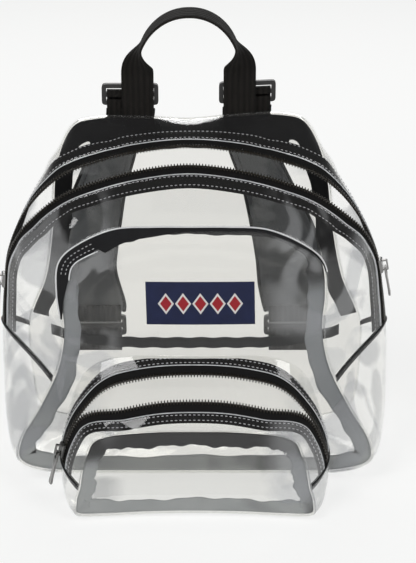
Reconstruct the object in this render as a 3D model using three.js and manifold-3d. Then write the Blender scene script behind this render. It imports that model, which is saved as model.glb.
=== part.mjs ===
// A small clear vinyl backpack standing on the floor with both of its zips open.
// Millimetres, +X to the right as seen from the front, +Y to the back, +Z up.
// The bag is a front panel and a back panel joined by a gusset. Places on the gusset are given by a row
// (0 at the middle of the floor, up the right side to the middle of the top, and down the left side again),
// by the distance along the skin from the zip line (minus to the front), and by the lift off the skin.
import * as THREE from 'three';
import Module from 'manifold-3d';
import { mergeVertices } from 'three/addons/utils/BufferGeometryUtils.js';

// Driving sizes of the bag
const BAG_WIDTH = 304;
const BAG_HEIGHT = 268;
const BAG_DEPTH = 100;
const BAG_LEAN = 5; // how far the top leans to the left
const BACK_RISE = 7; // how much higher the back's right edge stands than its middle
const PANEL_BELLY = 5;
const BACK_BELLY = 2;

// Driving sizes of the pocket
const POCKET_WIDTH = 204;
const POCKET_HEIGHT = 113;
const POCKET_DEPTH = 52;
const POCKET_BELLY = 3;

// Sheet, tape and seams
const VINYL = 1.2;
const CLEARANCE = 0.35; // between pieces that are sewn to each other
const PANEL_CLEARANCE = 0.7; // between a panel's edge and the gusset round it
const SEAM_GAP = 0.8; // between sheets whose cut edges meet
const TAPE = 0.9;
const BINDING_WIDTH = 13;
const YOKE_WIDTH = 24; // the binding along the back's top edge
const SEAM_TAPE_WIDTH = 5;
const POCKET_BINDING_WIDTH = 10.4;
const BAND_HEIGHT = 9; // the seam across the back
const BAND_LEVEL = 73; // its middle's height
const BAND_SAG = 13; // how much lower that is than its ends
const BAND_LENGTH = 234;

// Zips
const TAPE_SHOWS = 9.5; // tape between the teeth's edge and the vinyl
const TAPE_HIDDEN = 12; // tape behind the vinyl
const POCKET_TAPE_HIDDEN = 8;
const TEETH_WIDTH = 3.2;
const TEETH_RISE = 0.9;
const MOUTH_GAP = 17;
const POCKET_MOUTH_GAP = 19;
const CLOSED_GAP = 0.4;

// Zip sliders and pulls
const SLIDER_LENGTH = 11;
const SLIDER_WIDTH = 8;
const SLIDER_THICKNESS = 2.4;
const BRIDGE_WIDTH = 2.4;
const BRIDGE_BAR = 1.1;
const BRIDGE_OPENING = 3;
const BRIDGE_SET_IN = 1.2; // from each end of the slider
const PULL_LENGTH = 24;
const PULL_WIDTH = 6;
const PULL_THICKNESS = 1.5;
const PULL_PLAY = 0.4;
const PULL_SWING = 140; // degrees from hanging down the zip to leaning on the bridge's top
const POCKET_PULL_LENGTH = 27;

// Label
const LABEL_WIDTH = 82;
const LABEL_HEIGHT = 34.5;
const LABEL_THICKNESS = 0.9;
const LABEL_OFFSET = 6;
const LABEL_LEVEL = 156;

// Haul loop
const LOOP_WEB_WIDTH = 25;
const LOOP_WEB_THICKNESS = 1.6;
const LOOP_SPAN = 79; // between the middles of the legs
const LOOP_RISE = 44; // of the arch over the legs
const LOOP_LEG = 39; // above the bag's top
const LOOP_SEWN = 14; // below it
const LOOP_NECK = 7; // the start of each leg's turn, below the arch

// Shoulder straps and their buckles
const STRAP_WIDTH = 52;
const STRAP_THICKNESS = 4;
const STRAP_STAND_OFF = 34;
const STRAP_DRIFT = 13; // how much further out the left strap hangs
const ANCHOR_WEB_WIDTH = 36;
const ANCHOR_WEB_THICKNESS = 1.4;
const ANCHOR_SPAN = 91; // between the middles of the two anchors
const BUCKLE_WIDTH = 44;
const BUCKLE_HEIGHT = 17;
const BUCKLE_THICKNESS = 3.4;
const BUCKLE_BAR = 3.4;
const BUCKLE_LIFT = 8; // from the bag's top to the buckle's lower edge
const ADJUSTER_SPAN = 156;
const ADJUSTER_LEVEL = 87;
const ANCHOR_TAIL = 6; // webbing that hangs below a buckle's lower edge
const FOOT_TAIL = 4; // and below an adjuster's
const STRAP_SEWN = 13; // how far the webbing at each end is sewn along the strap

const HALF_WIDTH = BAG_WIDTH / 2;
const HALF_DEPTH = BAG_DEPTH / 2;

// The bag's cross sections, up the right side. x is a share of half the width and z of the height.
const BAG_ROWS = [
  { at: 'floor middle', frontX: 0, frontZ: 0.030, middleX: 0, middleZ: -0.011, backX: 0, backZ: 0.022 },
  { at: 'floor', frontX: 0.382, frontZ: 0.030, middleX: 0.395, middleZ: -0.011, backX: 0.362, backZ: 0.022 },
  { at: 'floor edge', frontX: 0.737, frontZ: 0.034, middleX: 0.757, middleZ: -0.007, backX: 0.691, backZ: 0.026 },
  { at: 'corner', frontX: 0.901, frontZ: 0.067, middleX: 0.941, middleZ: 0.037, backX: 0.842, backZ: 0.067 },
  { at: 'side foot', frontX: 0.895, frontZ: 0.142, middleX: 0.993, middleZ: 0.142, backX: 0.875, backZ: 0.157 },
  { at: 'flank', frontX: 0.796, frontZ: 0.243, middleX: 1.000, middleZ: 0.261, backX: 0.888, backZ: 0.269 },
  { at: 'waist', frontX: 0.691, frontZ: 0.373, middleX: 0.990, middleZ: 0.399, backX: 0.875, backZ: 0.373 },
  { at: 'side', frontX: 0.655, frontZ: 0.493, middleX: 0.970, middleZ: 0.534, backX: 0.789, backZ: 0.500 },
  { at: 'shoulder', frontX: 0.668, frontZ: 0.604, middleX: 0.934, middleZ: 0.660, backX: 0.740, backZ: 0.657 },
  { at: 'under top', frontX: 0.651, frontZ: 0.698, middleX: 0.829, middleZ: 0.769, backX: 0.704, backZ: 0.843 },
  { at: 'top corner', frontX: 0.553, frontZ: 0.754, middleX: 0.651, middleZ: 0.858, backX: 0.612, backZ: 0.968 },
  { at: 'crown edge', frontX: 0.375, frontZ: 0.799, middleX: 0.434, middleZ: 0.907, backX: 0.474, backZ: 1.000 },
  { at: 'crown', frontX: 0.184, frontZ: 0.806, middleX: 0.217, middleZ: 0.937, backX: 0.237, backZ: 1.002 },
  { at: 'crown middle', frontX: 0, frontZ: 0.806, middleX: 0, middleZ: 0.950, backX: 0, backZ: 0.996 },
];

// The pocket's cross sections, in the same way, as shares of its own half width and height.
const POCKET_ROWS = [
  { at: 'floor middle', frontX: 0, frontZ: 0.027, middleX: 0, middleZ: -0.018, backX: 0, backZ: 0.106 },
  { at: 'floor', frontX: 0.353, frontZ: 0.027, middleX: 0.392, middleZ: -0.018, backX: 0.373, backZ: 0.106 },
  { at: 'floor edge', frontX: 0.667, frontZ: 0.027, middleX: 0.745, middleZ: -0.009, backX: 0.725, backZ: 0.106 },
  { at: 'corner', frontX: 0.873, frontZ: 0.044, middleX: 0.951, middleZ: 0.027, backX: 0.922, backZ: 0.133 },
  { at: 'side foot', frontX: 0.892, frontZ: 0.133, middleX: 1.000, middleZ: 0.142, backX: 0.971, backZ: 0.239 },
  { at: 'flank', frontX: 0.863, frontZ: 0.230, middleX: 1.000, middleZ: 0.257, backX: 0.980, backZ: 0.354 },
  { at: 'side', frontX: 0.843, frontZ: 0.336, middleX: 0.990, middleZ: 0.372, backX: 0.971, backZ: 0.487 },
  { at: 'shoulder', frontX: 0.804, frontZ: 0.460, middleX: 0.941, middleZ: 0.504, backX: 0.922, backZ: 0.673 },
  { at: 'top corner', frontX: 0.755, frontZ: 0.549, middleX: 0.853, middleZ: 0.637, backX: 0.843, backZ: 0.832 },
  { at: 'crown edge', frontX: 0.647, frontZ: 0.593, middleX: 0.716, middleZ: 0.735, backX: 0.716, backZ: 0.938 },
  { at: 'crown side', frontX: 0.471, frontZ: 0.615, middleX: 0.520, middleZ: 0.792, backX: 0.529, backZ: 0.991 },
  { at: 'crown', frontX: 0.235, frontZ: 0.627, middleX: 0.265, middleZ: 0.841, backX: 0.265, backZ: 1.000 },
  { at: 'crown middle', frontX: 0, frontZ: 0.628, middleX: 0, middleZ: 0.854, backX: 0, backZ: 1.000 },
];

// The shoulder strap from its top to its foot. height is a share of the bag's height, and inward how far its
// middle lies from the adjuster's towards the anchor's. width and off are shares of its full width and of its
// full stand-off.
const STRAP_ROWS = [
  { height: 1.010, inward: 1.00, width: 0.69, off: 0.00 },
  { height: 0.950, inward: 1.00, width: 0.69, off: 0.02 },
  { height: 0.860, inward: 0.88, width: 0.71, off: 0.40 },
  { height: 0.720, inward: 0.50, width: 0.80, off: 0.90 },
  { height: 0.590, inward: 0.16, width: 0.98, off: 1.00 },
  { height: 0.510, inward: 0.03, width: 1.00, off: 0.66 },
  { height: 0.450, inward: 0.00, width: 0.98, off: 0.19 },
  { height: 0.410, inward: 0.00, width: 0.90, off: 0.02 },
  { height: 0.370, inward: 0.00, width: 0.80, off: 0.00 },
];

const wasm = await Module();
wasm.setup();

const vinylLook = { color: 0xe9edee, roughness: 0.08, metalness: 0 };
const tapeLook = { color: 0x17181a, roughness: 0.85, metalness: 0 };
const webbingLook = { color: 0x1b1917, roughness: 0.8, metalness: 0 };
const plasticLook = { color: 0x0f0f10, roughness: 0.3, metalness: 0 };
const metalLook = { color: 0xb9b9b6, roughness: 0.25, metalness: 1 };
const labelLook = { color: 0x1c2a57, roughness: 0.8, metalness: 0 };

const clamp = (value, low, high) => Math.min(high, Math.max(low, value));
const mix = (a, b, share) => a + (b - a) * share;
const smooth = (low, high, value) => {
  const share = clamp((value - low) / (high - low), 0, 1);
  return share * share * (3 - 2 * share);
};

// A smooth curve through one column of a table. A row past an end is the mirror image of one before it.
function column(rows, key, place) {
  const last = rows.length - 1;
  const sign = key.endsWith('X') ? -1 : 1;
  const value = (index) => {
    if (index < 0) return sign * rows[-index][key];
    if (index > last) return sign * rows[2 * last - index][key];
    return rows[index][key];
  };
  const cell = Math.min(Math.floor(place), last - 1);
  const part = place - cell;
  const [a, b, c, d] = [value(cell - 1), value(cell), value(cell + 1), value(cell + 2)];
  return b + 0.5 * part * (c - a + part * (2 * a - 5 * b + 4 * c - d + part * (3 * (b - c) + d - a)));
}

// The whole bag leans a little to the left, and its back is pulled up on the right.
function lean(point) {
  const level = clamp(point.z / BAG_HEIGHT, 0, 1);
  const toBack = clamp(point.y / HALF_DEPTH, 0, 1);
  point.z += BACK_RISE * Math.max(point.x / HALF_WIDTH, 0) * level ** 6 * toBack;
  point.x -= BAG_LEAN * level * level;
  return point;
}

// How far forward the front panel stands at a place.
function frontY(x, z) {
  const across = clamp(1 - (x / (0.66 * HALF_WIDTH)) ** 2, 0, 1);
  const up = clamp(1 - ((z / BAG_HEIGHT - 0.42) / 0.38) ** 2, 0, 1);
  return -HALF_DEPTH - PANEL_BELLY * across * up;
}

function backY(x, z) {
  const across = clamp(1 - (x / (0.7 * HALF_WIDTH)) ** 2, 0, 1);
  const up = clamp(1 - ((z / BAG_HEIGHT - 0.5) / 0.4) ** 2, 0, 1);
  return HALF_DEPTH + BACK_BELLY * across * up;
}

// The pocket's front face kicks forward at its foot, most at the corners.
function pocketY(x, z) {
  const low = clamp(1 - z / (0.62 * POCKET_HEIGHT), 0, 1);
  const side = (x / (POCKET_WIDTH / 2)) ** 2;
  const belly = POCKET_BELLY * clamp(1 - side * 1.6, 0, 1) * clamp(4 * low * (1 - low), 0, 1);
  return -HALF_DEPTH - POCKET_DEPTH * (0.94 + 0.08 * low + 0.2 * low * side) - belly;
}

// A gusset: a skin that crosses from a front seam to a back seam through a middle line.
class Gusset {
  constructor({ rows, halfWidth, height, frontAt, backAt }) {
    this.rows = rows;
    this.halfWidth = halfWidth;
    this.height = height;
    this.frontAt = frontAt;
    this.backAt = backAt;
    this.top = rows.length - 1;
    this.tables = new Map();
  }

  // share runs from 0 at the front seam to 1 at the back seam
  skin(row, share) {
    const side = row > this.top || row < 0 ? -1 : 1;
    const place = row > this.top ? 2 * this.top - row : Math.abs(row);
    const read = (key) => column(this.rows, key, place);
    const line = (name) => [side * this.halfWidth * read(`${name}X`), this.height * read(`${name}Z`)];
    const [frontX, frontZ] = line('front');
    const [middleX, middleZ] = line('middle');
    const [backX, backZ] = line('back');
    const swell = 4 * share * (1 - share);
    const x = mix(frontX, backX, share) + swell * (middleX - (frontX + backX) / 2);
    const z = mix(frontZ, backZ, share) + swell * (middleZ - (frontZ + backZ) / 2);
    const y = mix(this.frontAt(frontX, frontZ), this.backAt(backX, backZ), share);
    return new THREE.Vector3(x, y, Math.max(z, 0));
  }

  normal(row, share) {
    const step = 0.02;
    const along = this.skin(row + step, share).sub(this.skin(row - step, share));
    const low = Math.max(share - step, 0);
    const high = Math.min(share + step, 1);
    const across = this.skin(row, high).sub(this.skin(row, low));
    return along.cross(across).negate().normalize();
  }

  // distances along the skin from the zip line, for one row
  table(row) {
    const key = row.toFixed(5);
    if (!this.tables.has(key)) {
      const steps = 24;
      const lengths = [0];
      for (let i = 1; i <= steps; i += 1) {
        const piece = this.skin(row, i / steps).distanceTo(this.skin(row, (i - 1) / steps));
        lengths.push(lengths[i - 1] + piece);
      }
      const middle = lengths[steps / 2];
      this.tables.set(key, lengths.map((length) => length - middle));
    }
    return this.tables.get(key);
  }

  frontEdge(row) {
    return this.table(row)[0];
  }

  backEdge(row) {
    return this.table(row).at(-1);
  }

  shareAt(row, distance) {
    const lengths = this.table(row);
    const steps = lengths.length - 1;
    if (distance <= lengths[0]) return 0;
    for (let i = 1; i <= steps; i += 1) {
      if (distance <= lengths[i]) {
        return (i - 1 + (distance - lengths[i - 1]) / (lengths[i] - lengths[i - 1])) / steps;
      }
    }
    return 1;
  }

  at(row, distance, lift) {
    const share = this.shareAt(row, distance);
    return this.skin(row, share).addScaledVector(this.normal(row, share), lift);
  }

  // how many rows make one millimetre, near a row
  rowsPerMm(row) {
    return 1 / this.skin(row + 0.5, 0.5).distanceTo(this.skin(row - 0.5, 0.5));
  }
}

const bag = new Gusset({
  rows: BAG_ROWS,
  halfWidth: HALF_WIDTH,
  height: BAG_HEIGHT,
  frontAt: frontY,
  backAt: backY,
});
const pocket = new Gusset({
  rows: POCKET_ROWS,
  halfWidth: POCKET_WIDTH / 2,
  height: POCKET_HEIGHT,
  frontAt: pocketY,
  backAt: (x, z) => frontY(x, z) - CLEARANCE - 0.8 * VINYL,
});

// A four-cornered cross section, in the order in which its rings are drawn
const RECTANGLE = [[0, 0], [1, 0], [1, 1], [0, 1]].map(([x, y]) => new THREE.Vector2(x, y));

// Turns a list of points and triangles into a geometry whose faces point out.
function geometryOf(points, triangles) {
  let volume = 0;
  for (const [a, b, c] of triangles) {
    volume += points[a].dot(new THREE.Vector3().crossVectors(points[b], points[c]));
  }
  const faces = volume < 0 ? triangles.map(([a, b, c]) => [a, c, b]) : triangles;
  const geometry = new THREE.BufferGeometry();
  const numbers = points.flatMap((point) => point.toArray());
  geometry.setAttribute('position', new THREE.Float32BufferAttribute(numbers, 3));
  geometry.setIndex(faces.flat());
  geometry.computeVertexNormals();
  return geometry;
}

// A solid whose cross section is a polygon at each of several stations, with both ends closed.
// rings[i] is the polygon at station i; flat is the polygon's shape on paper, for closing the ends.
function sweep(rings, flat) {
  const places = rings.flat();
  const sides = rings[0].length;
  const triangles = [];
  for (let i = 0; i < rings.length - 1; i += 1) {
    for (let j = 0; j < sides; j += 1) {
      const next = (j + 1) % sides;
      const [a, b] = [i * sides + j, i * sides + next];
      const [c, d] = [a + sides, b + sides];
      if (places[a].distanceTo(places[d]) <= places[b].distanceTo(places[c])) {
        triangles.push([a, b, d], [a, d, c]);
      } else {
        triangles.push([a, b, c], [b, d, c]);
      }
    }
  }
  const cap = THREE.ShapeUtils.triangulateShape(flat, []);
  const lastRing = (rings.length - 1) * sides;
  const turns = THREE.ShapeUtils.isClockWise(flat);
  for (const [a, b, c] of cap) {
    triangles.push(turns ? [a, b, c] : [a, c, b]);
    const far = [a, b, c].map((index) => lastRing + index);
    triangles.push(turns ? [far[0], far[2], far[1]] : far);
  }
  return geometryOf(places, triangles);
}

// A strip of skin. ends(distance) gives the first and last row at a distance; edges(row) the polygon's
// places across the skin, each a distance and a lift.
function strip(gusset, stations, ends, edges) {
  const rings = [];
  const [first, last] = ends(0);
  for (let i = 0; i <= stations; i += 1) {
    const part = i / stations;
    const polygon = edges(mix(first, last, part));
    rings.push(polygon.map((corner, index) => {
      const [from, to] = ends(corner.distance);
      const row = mix(from, to, part);
      const { distance, lift } = edges(row)[index];
      return lean(gusset.at(row, distance, lift));
    }));
  }
  // drawn bowed, so that each end is closed bend by bend and not by long triangles across it
  const bow = 1 / 40;
  const flat = edges(first).map(({ distance, lift }) => (
    new THREE.Vector2(distance, lift - bow * distance * distance)
  ));
  return sweep(rings, flat);
}

// The distances at which half a gusset bends, from the vinyl's edge by the zip to the seam: first the end
// of the hidden tape, and then equal steps.
function sheetBends(edge, hidden, seam) {
  const steps = 3;
  const hem = 2;
  const start = edge + TAPE_SHOWS;
  const tapeEnd = Math.min(start + hidden, seam - hem);
  const bends = [start];
  for (let i = 0; i <= steps; i += 1) bends.push(mix(tapeEnd, seam, i / steps));
  return bends;
}

// The polygon of a sheet that bends at the given distances: its outer face, and its inner face back.
function sheetPolygon(bends) {
  const outer = bends.map((distance) => ({ distance, lift: 0 }));
  const inner = bends.map((distance) => ({ distance, lift: -VINYL }));
  return [...outer, ...inner.reverse()];
}

// Half of a zip, behind the vinyl: a flat tape with a raised row of teeth along its free edge.
function zipPolygon(side, edge, hidden, seam) {
  const [shown, end] = sheetBends(edge, hidden, seam);
  const teeth = edge + TEETH_WIDTH;
  const places = [
    [edge, TEETH_RISE],
    [teeth, TEETH_RISE],
    [teeth, 0],
    [shown, 0],
    [end, 0],
    [end, -TAPE],
    [shown, -TAPE],
    [edge, -TAPE],
  ];
  return places.map(([distance, rise]) => ({ distance: side * distance, lift: rise - VINYL - CLEARANCE }));
}

// A panel that closes a gusset: a disc of skin, slightly smaller than its seam. seamShare is 0 for a front
// panel and 1 for a back one; inward is which way the sheet's thickness goes along Y.
function panel(gusset, seamShare, surface, inward, zip, centreZ) {
  const rims = seamRows(gusset, zip).map((row) => insetPoint(gusset, seamShare, row, VINYL, 0));
  const count = rims.length;
  const discs = [0.6, 1];
  const points = [];
  for (const depth of [0, VINYL]) {
    points.push(new THREE.Vector3(0, surface(0, centreZ) + inward * depth, centreZ));
    for (const size of discs) {
      for (const rim of rims) {
        const x = rim.x * size;
        const z = mix(centreZ, rim.z, size);
        points.push(new THREE.Vector3(x, surface(x, z) + inward * depth, z));
      }
    }
  }
  const face = 1 + discs.length * count;
  const triangles = [];
  for (let i = 0; i < count; i += 1) {
    const next = (i + 1) % count;
    triangles.push([0, 1 + i, 1 + next], [face, face + 1 + next, face + 1 + i]);
    for (let ring = 0; ring < discs.length - 1; ring += 1) {
      const a = 1 + ring * count + i;
      const b = 1 + ring * count + next;
      triangles.push([a, a + count, b + count], [a, b + count, b]);
      triangles.push([face + a, face + b + count, face + a + count]);
      triangles.push([face + a, face + b, face + b + count]);
    }
    const rimStart = 1 + (discs.length - 1) * count;
    const [a, b] = [rimStart + i, rimStart + next];
    triangles.push([a, face + a, face + b], [a, face + b, b]);
  }
  return geometryOf(points.map(lean), triangles);
}

// A place inside a seam, in the seam's own plane, for a piece that reaches a depth behind that plane. The
// piece stays clear of the gusset's wall, also where the wall closes in behind the seam.
function insetPoint(gusset, seamShare, row, depth, extra) {
  const seam = gusset.skin(row, seamShare);
  const step = 0.05;
  const along = gusset.skin(row + step, seamShare).sub(gusset.skin(row - step, seamShare));
  const inward = new THREE.Vector2(-along.z, along.x).normalize();
  const behind = gusset.skin(row, Math.abs(seamShare - step)).sub(seam);
  const closing = (behind.x * inward.x + behind.z * inward.y) / Math.abs(behind.y);
  const wall = gusset.normal(row, seamShare);
  const slope = Math.hypot(wall.x, wall.z);
  const wallReach = closing > 0 ? VINYL / slope + closing * depth : VINYL * Math.max(slope, 0.8);
  const inset = PANEL_CLEARANCE + wallReach + extra;
  return { x: seam.x + inward.x * inset, z: seam.z + inward.y * inset };
}

// The rows at which a gusset's three parts bend, so that what lies inside its seams bends with it.
function seamRows(gusset, { seamLow, stations, lowerStations }) {
  const upperLength = 2 * gusset.top - 2 * seamLow;
  const rows = [];
  for (let i = 0; i < lowerStations; i += 1) rows.push(mix(-seamLow, seamLow, i / lowerStations));
  for (let i = 0; i < stations; i += 1) rows.push(seamLow + (upperLength * i) / stations);
  return rows;
}

// Binding tape that lies flat behind a panel, along its seam. widthAt(row) is how wide it is there.
function binding(gusset, seamShare, surface, inward, zip, firstRow, lastRow, widthAt) {
  const rings = [];
  const near = VINYL + CLEARANCE;
  const round = 2 * gusset.top;
  const bends = seamRows(gusset, zip).map((row) => (row < 0 ? row + round : row)).sort((a, b) => a - b);
  const rows = [firstRow, ...bends.filter((row) => row > firstRow + 0.1 && row < lastRow - 0.1), lastRow];
  for (const row of rows) {
    const outer = insetPoint(gusset, seamShare, row, near + TAPE, 0);
    const inner = insetPoint(gusset, seamShare, row, near + TAPE, widthAt(row));
    const place = ({ x, z }, depth) => lean(new THREE.Vector3(x, surface(x, z) + inward * depth, z));
    const far = near + TAPE;
    rings.push([place(outer, near), place(inner, near), place(inner, far), place(outer, far)]);
  }
  return sweep(rings, RECTANGLE);
}

// Flat webbing that keeps its width along X; path is its middle line, as [y, z] places.
function webbing(path, width, thickness, middleX) {
  const middles = path.map(([y, z]) => new THREE.Vector2(y, z));
  const side = (sign) => middles.map((point, i) => {
    const before = middles[Math.max(i - 1, 0)];
    const after = middles[Math.min(i + 1, middles.length - 1)];
    const inDirection = point.clone().sub(before).normalize();
    const outDirection = after.clone().sub(point).normalize();
    const tangent = inDirection.clone().add(outDirection).normalize();
    const turn = i > 0 && i < middles.length - 1 ? Math.max(tangent.dot(outDirection), 0.5) : 1;
    const reach = (sign * thickness) / 2 / turn;
    return new THREE.Vector2(point.x - tangent.y * reach, point.y + tangent.x * reach);
  });
  const outline = [...side(1), ...side(-1).reverse()];
  const rings = [-width / 2, width / 2].map((x) => (
    outline.map((point) => lean(new THREE.Vector3(middleX + x, point.x, point.y)))
  ));
  return sweep(rings, outline);
}

// The half turn that webbing makes round a bar, from its front face over its top to its back face.
function roundBar(middleY, topZ, barThickness, reach) {
  const places = [];
  for (const [sideY, angles] of [[-1, [0, 45, 90]], [1, [90, 45, 0]]]) {
    for (const angle of angles) {
      const radians = THREE.MathUtils.degToRad(angle);
      const y = middleY + sideY * (barThickness / 2 + reach * Math.cos(radians));
      places.push([y, topZ + reach * Math.sin(radians)]);
    }
  }
  return places;
}

function named(name, geometry, look) {
  const mesh = new THREE.Mesh(geometry, new THREE.MeshStandardMaterial(look));
  mesh.name = name;
  return mesh;
}

function solidOf(geometry) {
  const bare = geometry.clone();
  bare.deleteAttribute('normal');
  bare.deleteAttribute('uv');
  const merged = mergeVertices(bare, 1e-4);
  return new wasm.Manifold(new wasm.Mesh({
    numProp: 3,
    vertProperties: new Float32Array(merged.attributes.position.array),
    triVerts: new Uint32Array(merged.index.array),
  }));
}

function joined(first, second) {
  const { vertProperties, triVerts } = solidOf(first).add(solidOf(second)).getMesh();
  const geometry = new THREE.BufferGeometry();
  geometry.setAttribute('position', new THREE.BufferAttribute(vertProperties, 3));
  geometry.setIndex(new THREE.BufferAttribute(triVerts, 1));
  geometry.computeVertexNormals();
  return geometry;
}

// One zipped bag: its gusset in three parts, its two half zips and its side seams.
// Opening rows are counted up each side; the left side is the mirror image.
function zippedGusset(prefix, gusset, zip) {
  const { seamLow, seamHigh, openRight, openLeft, openOver, mouth, hidden, stations, lowerStations } = zip;
  const round = 2 * gusset.top;
  const seamGap = SEAM_GAP * gusset.rowsPerMm(seamLow);
  const seamRow = (distance) => {
    const edge = distance < 0 ? gusset.frontEdge(seamLow) : gusset.backEdge(seamLow);
    return seamLow + (seamHigh - seamLow) * (1 - clamp(distance / edge, 0, 1) ** 2);
  };
  const upperEnds = (distance) => {
    const row = seamRow(distance) + seamGap / 2;
    return [row, round - row];
  };
  const lowerEnds = (distance) => {
    const row = seamRow(distance) - seamGap / 2;
    return [-row, row];
  };
  const halfGap = (row) => {
    const open = smooth(0, openOver, Math.min(row - openRight, round - openLeft - row));
    return mix(CLOSED_GAP, mouth, open) / 2;
  };
  const seamAt = (side, row) => (side < 0 ? -gusset.frontEdge(row) : gusset.backEdge(row));
  const bends = (side, row) => (
    sheetBends(halfGap(Math.abs(row)), hidden, seamAt(side, row)).map((distance) => side * distance)
  );
  const upper = (side) => strip(gusset, stations, upperEnds, (row) => sheetPolygon(bends(side, row)));
  const lower = strip(gusset, lowerStations, lowerEnds, (row) => (
    sheetPolygon([...bends(-1, row).reverse(), ...bends(1, row)])
  ));
  const tape = (side) => strip(gusset, stations, upperEnds, (row) => (
    zipPolygon(side, halfGap(row), hidden, seamAt(side, row))
  ));
  return [
    named(`${prefix}front_gusset`, upper(-1), vinylLook),
    named(`${prefix}rear_gusset`, upper(1), vinylLook),
    named(`${prefix}lower_gusset`, lower, vinylLook),
    named(`${prefix}zip_tape_front`, tape(-1), tapeLook),
    named(`${prefix}zip_tape_rear`, tape(1), tapeLook),
    ...[['right', 1], ['left', -1]].map(([name, side]) => (
      named(`${prefix}side_seam_${name}`, seamTape(gusset, seamRow, seamGap, bends, side), tapeLook)
    )),
  ];
}

// The black tape behind a side seam, which crosses the gusset from its front seam to its back seam.
function seamTape(gusset, seamRow, seamGap, bends, side) {
  const across = (row) => [...bends(-1, row).reverse(), ...bends(1, row)];
  const rowsPerMm = gusset.rowsPerMm(seamRow(0));
  const near = -(VINYL + CLEARANCE);
  const corners = [[0, near], [SEAM_TAPE_WIDTH, near], [SEAM_TAPE_WIDTH, near - TAPE], [0, near - TAPE]];
  const rings = across(seamRow(0)).map((nominal, index) => corners.map(([below, lift]) => {
    const row = seamRow(nominal) - seamGap - below * rowsPerMm;
    return lean(gusset.at(side * row, across(row)[index], lift));
  }));
  // the two ends lie in the seams of the panels, so the tape stops at the places next to them
  rings.shift();
  rings.pop();
  return sweep(rings, RECTANGLE);
}

// A zip slider and its pull, in their own frame: x up the zip, y across it, z off the bag.
const SLIDER_BASE = TEETH_RISE - VINYL; // the teeth's top, measured from the gusset's skin
const BRIDGE_HALF = SLIDER_LENGTH / 2 - BRIDGE_SET_IN;
const BRIDGE_TOP = SLIDER_THICKNESS + BRIDGE_OPENING;
const PIVOT_X = -(BRIDGE_HALF - BRIDGE_BAR - PULL_PLAY - PULL_THICKNESS / 2);
const PIVOT_Z = SLIDER_THICKNESS + BRIDGE_OPENING / 2;

// Extrudes an outline drawn on the frame's x and z, along y.
function sidewaysExtrude(outline, width) {
  const geometry = new THREE.ExtrudeGeometry(outline, { depth: width, bevelEnabled: false });
  geometry.translate(0, 0, -width / 2);
  geometry.rotateX(Math.PI / 2);
  return geometry;
}

function sliderGeometry() {
  const half = SLIDER_LENGTH / 2;
  const chamfer = 1;
  const body = new THREE.Shape([
    new THREE.Vector2(-half, 0),
    new THREE.Vector2(half, 0),
    new THREE.Vector2(half, SLIDER_THICKNESS - chamfer),
    new THREE.Vector2(half - chamfer, SLIDER_THICKNESS),
    new THREE.Vector2(-half + chamfer, SLIDER_THICKNESS),
    new THREE.Vector2(-half, SLIDER_THICKNESS - chamfer),
  ]);
  const sunk = SLIDER_THICKNESS - 0.5;
  const high = BRIDGE_TOP + BRIDGE_BAR;
  const inner = BRIDGE_HALF - BRIDGE_BAR;
  const bridge = new THREE.Shape([
    new THREE.Vector2(-BRIDGE_HALF, sunk),
    new THREE.Vector2(-inner, sunk),
    new THREE.Vector2(-inner, BRIDGE_TOP),
    new THREE.Vector2(inner, BRIDGE_TOP),
    new THREE.Vector2(inner, sunk),
    new THREE.Vector2(BRIDGE_HALF, sunk),
    new THREE.Vector2(BRIDGE_HALF, high - BRIDGE_BAR / 2),
    new THREE.Vector2(BRIDGE_HALF - BRIDGE_BAR / 2, high),
    new THREE.Vector2(-BRIDGE_HALF + BRIDGE_BAR / 2, high),
    new THREE.Vector2(-BRIDGE_HALF, high - BRIDGE_BAR / 2),
  ]);
  return joined(sidewaysExtrude(body, SLIDER_WIDTH), sidewaysExtrude(bridge, BRIDGE_WIDTH));
}

// The pull hangs down the zip from a round cross bar that runs through the slider's bridge.
function pullGeometry(length) {
  const bar = PULL_THICKNESS / 2;
  const half = PULL_WIDTH / 2;
  const eye = BRIDGE_WIDTH / 2 + PULL_PLAY;
  // the eye is long enough to pass round the bridge's top at the end of the swing
  const slope = THREE.MathUtils.degToRad(180 - PULL_SWING);
  const rise = BRIDGE_TOP + BRIDGE_BAR - PIVOT_Z;
  const reach = rise / Math.sin(slope) + bar / Math.tan(slope) + PULL_PLAY;
  const tip = PULL_WIDTH * 0.36;
  const outline = new THREE.Shape([
    new THREE.Vector2(0, -half),
    new THREE.Vector2(0, -eye),
    new THREE.Vector2(-reach, -eye),
    new THREE.Vector2(-reach, eye),
    new THREE.Vector2(0, eye),
    new THREE.Vector2(0, half),
    new THREE.Vector2(-reach - 2, half),
    new THREE.Vector2(-reach - 5, tip),
    new THREE.Vector2(-length + 5, tip),
    new THREE.Vector2(-length + 2, half),
    new THREE.Vector2(-length, tip),
    new THREE.Vector2(-length, -tip),
    new THREE.Vector2(-length + 2, -half),
    new THREE.Vector2(-length + 5, -tip),
    new THREE.Vector2(-reach - 5, -tip),
    new THREE.Vector2(-reach - 2, -half),
  ]);
  const plate = new THREE.ExtrudeGeometry(outline, { depth: PULL_THICKNESS, bevelEnabled: false });
  plate.translate(0, 0, -bar);
  return joined(plate, new THREE.CylinderGeometry(bar, bar, PULL_WIDTH, 16));
}

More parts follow.
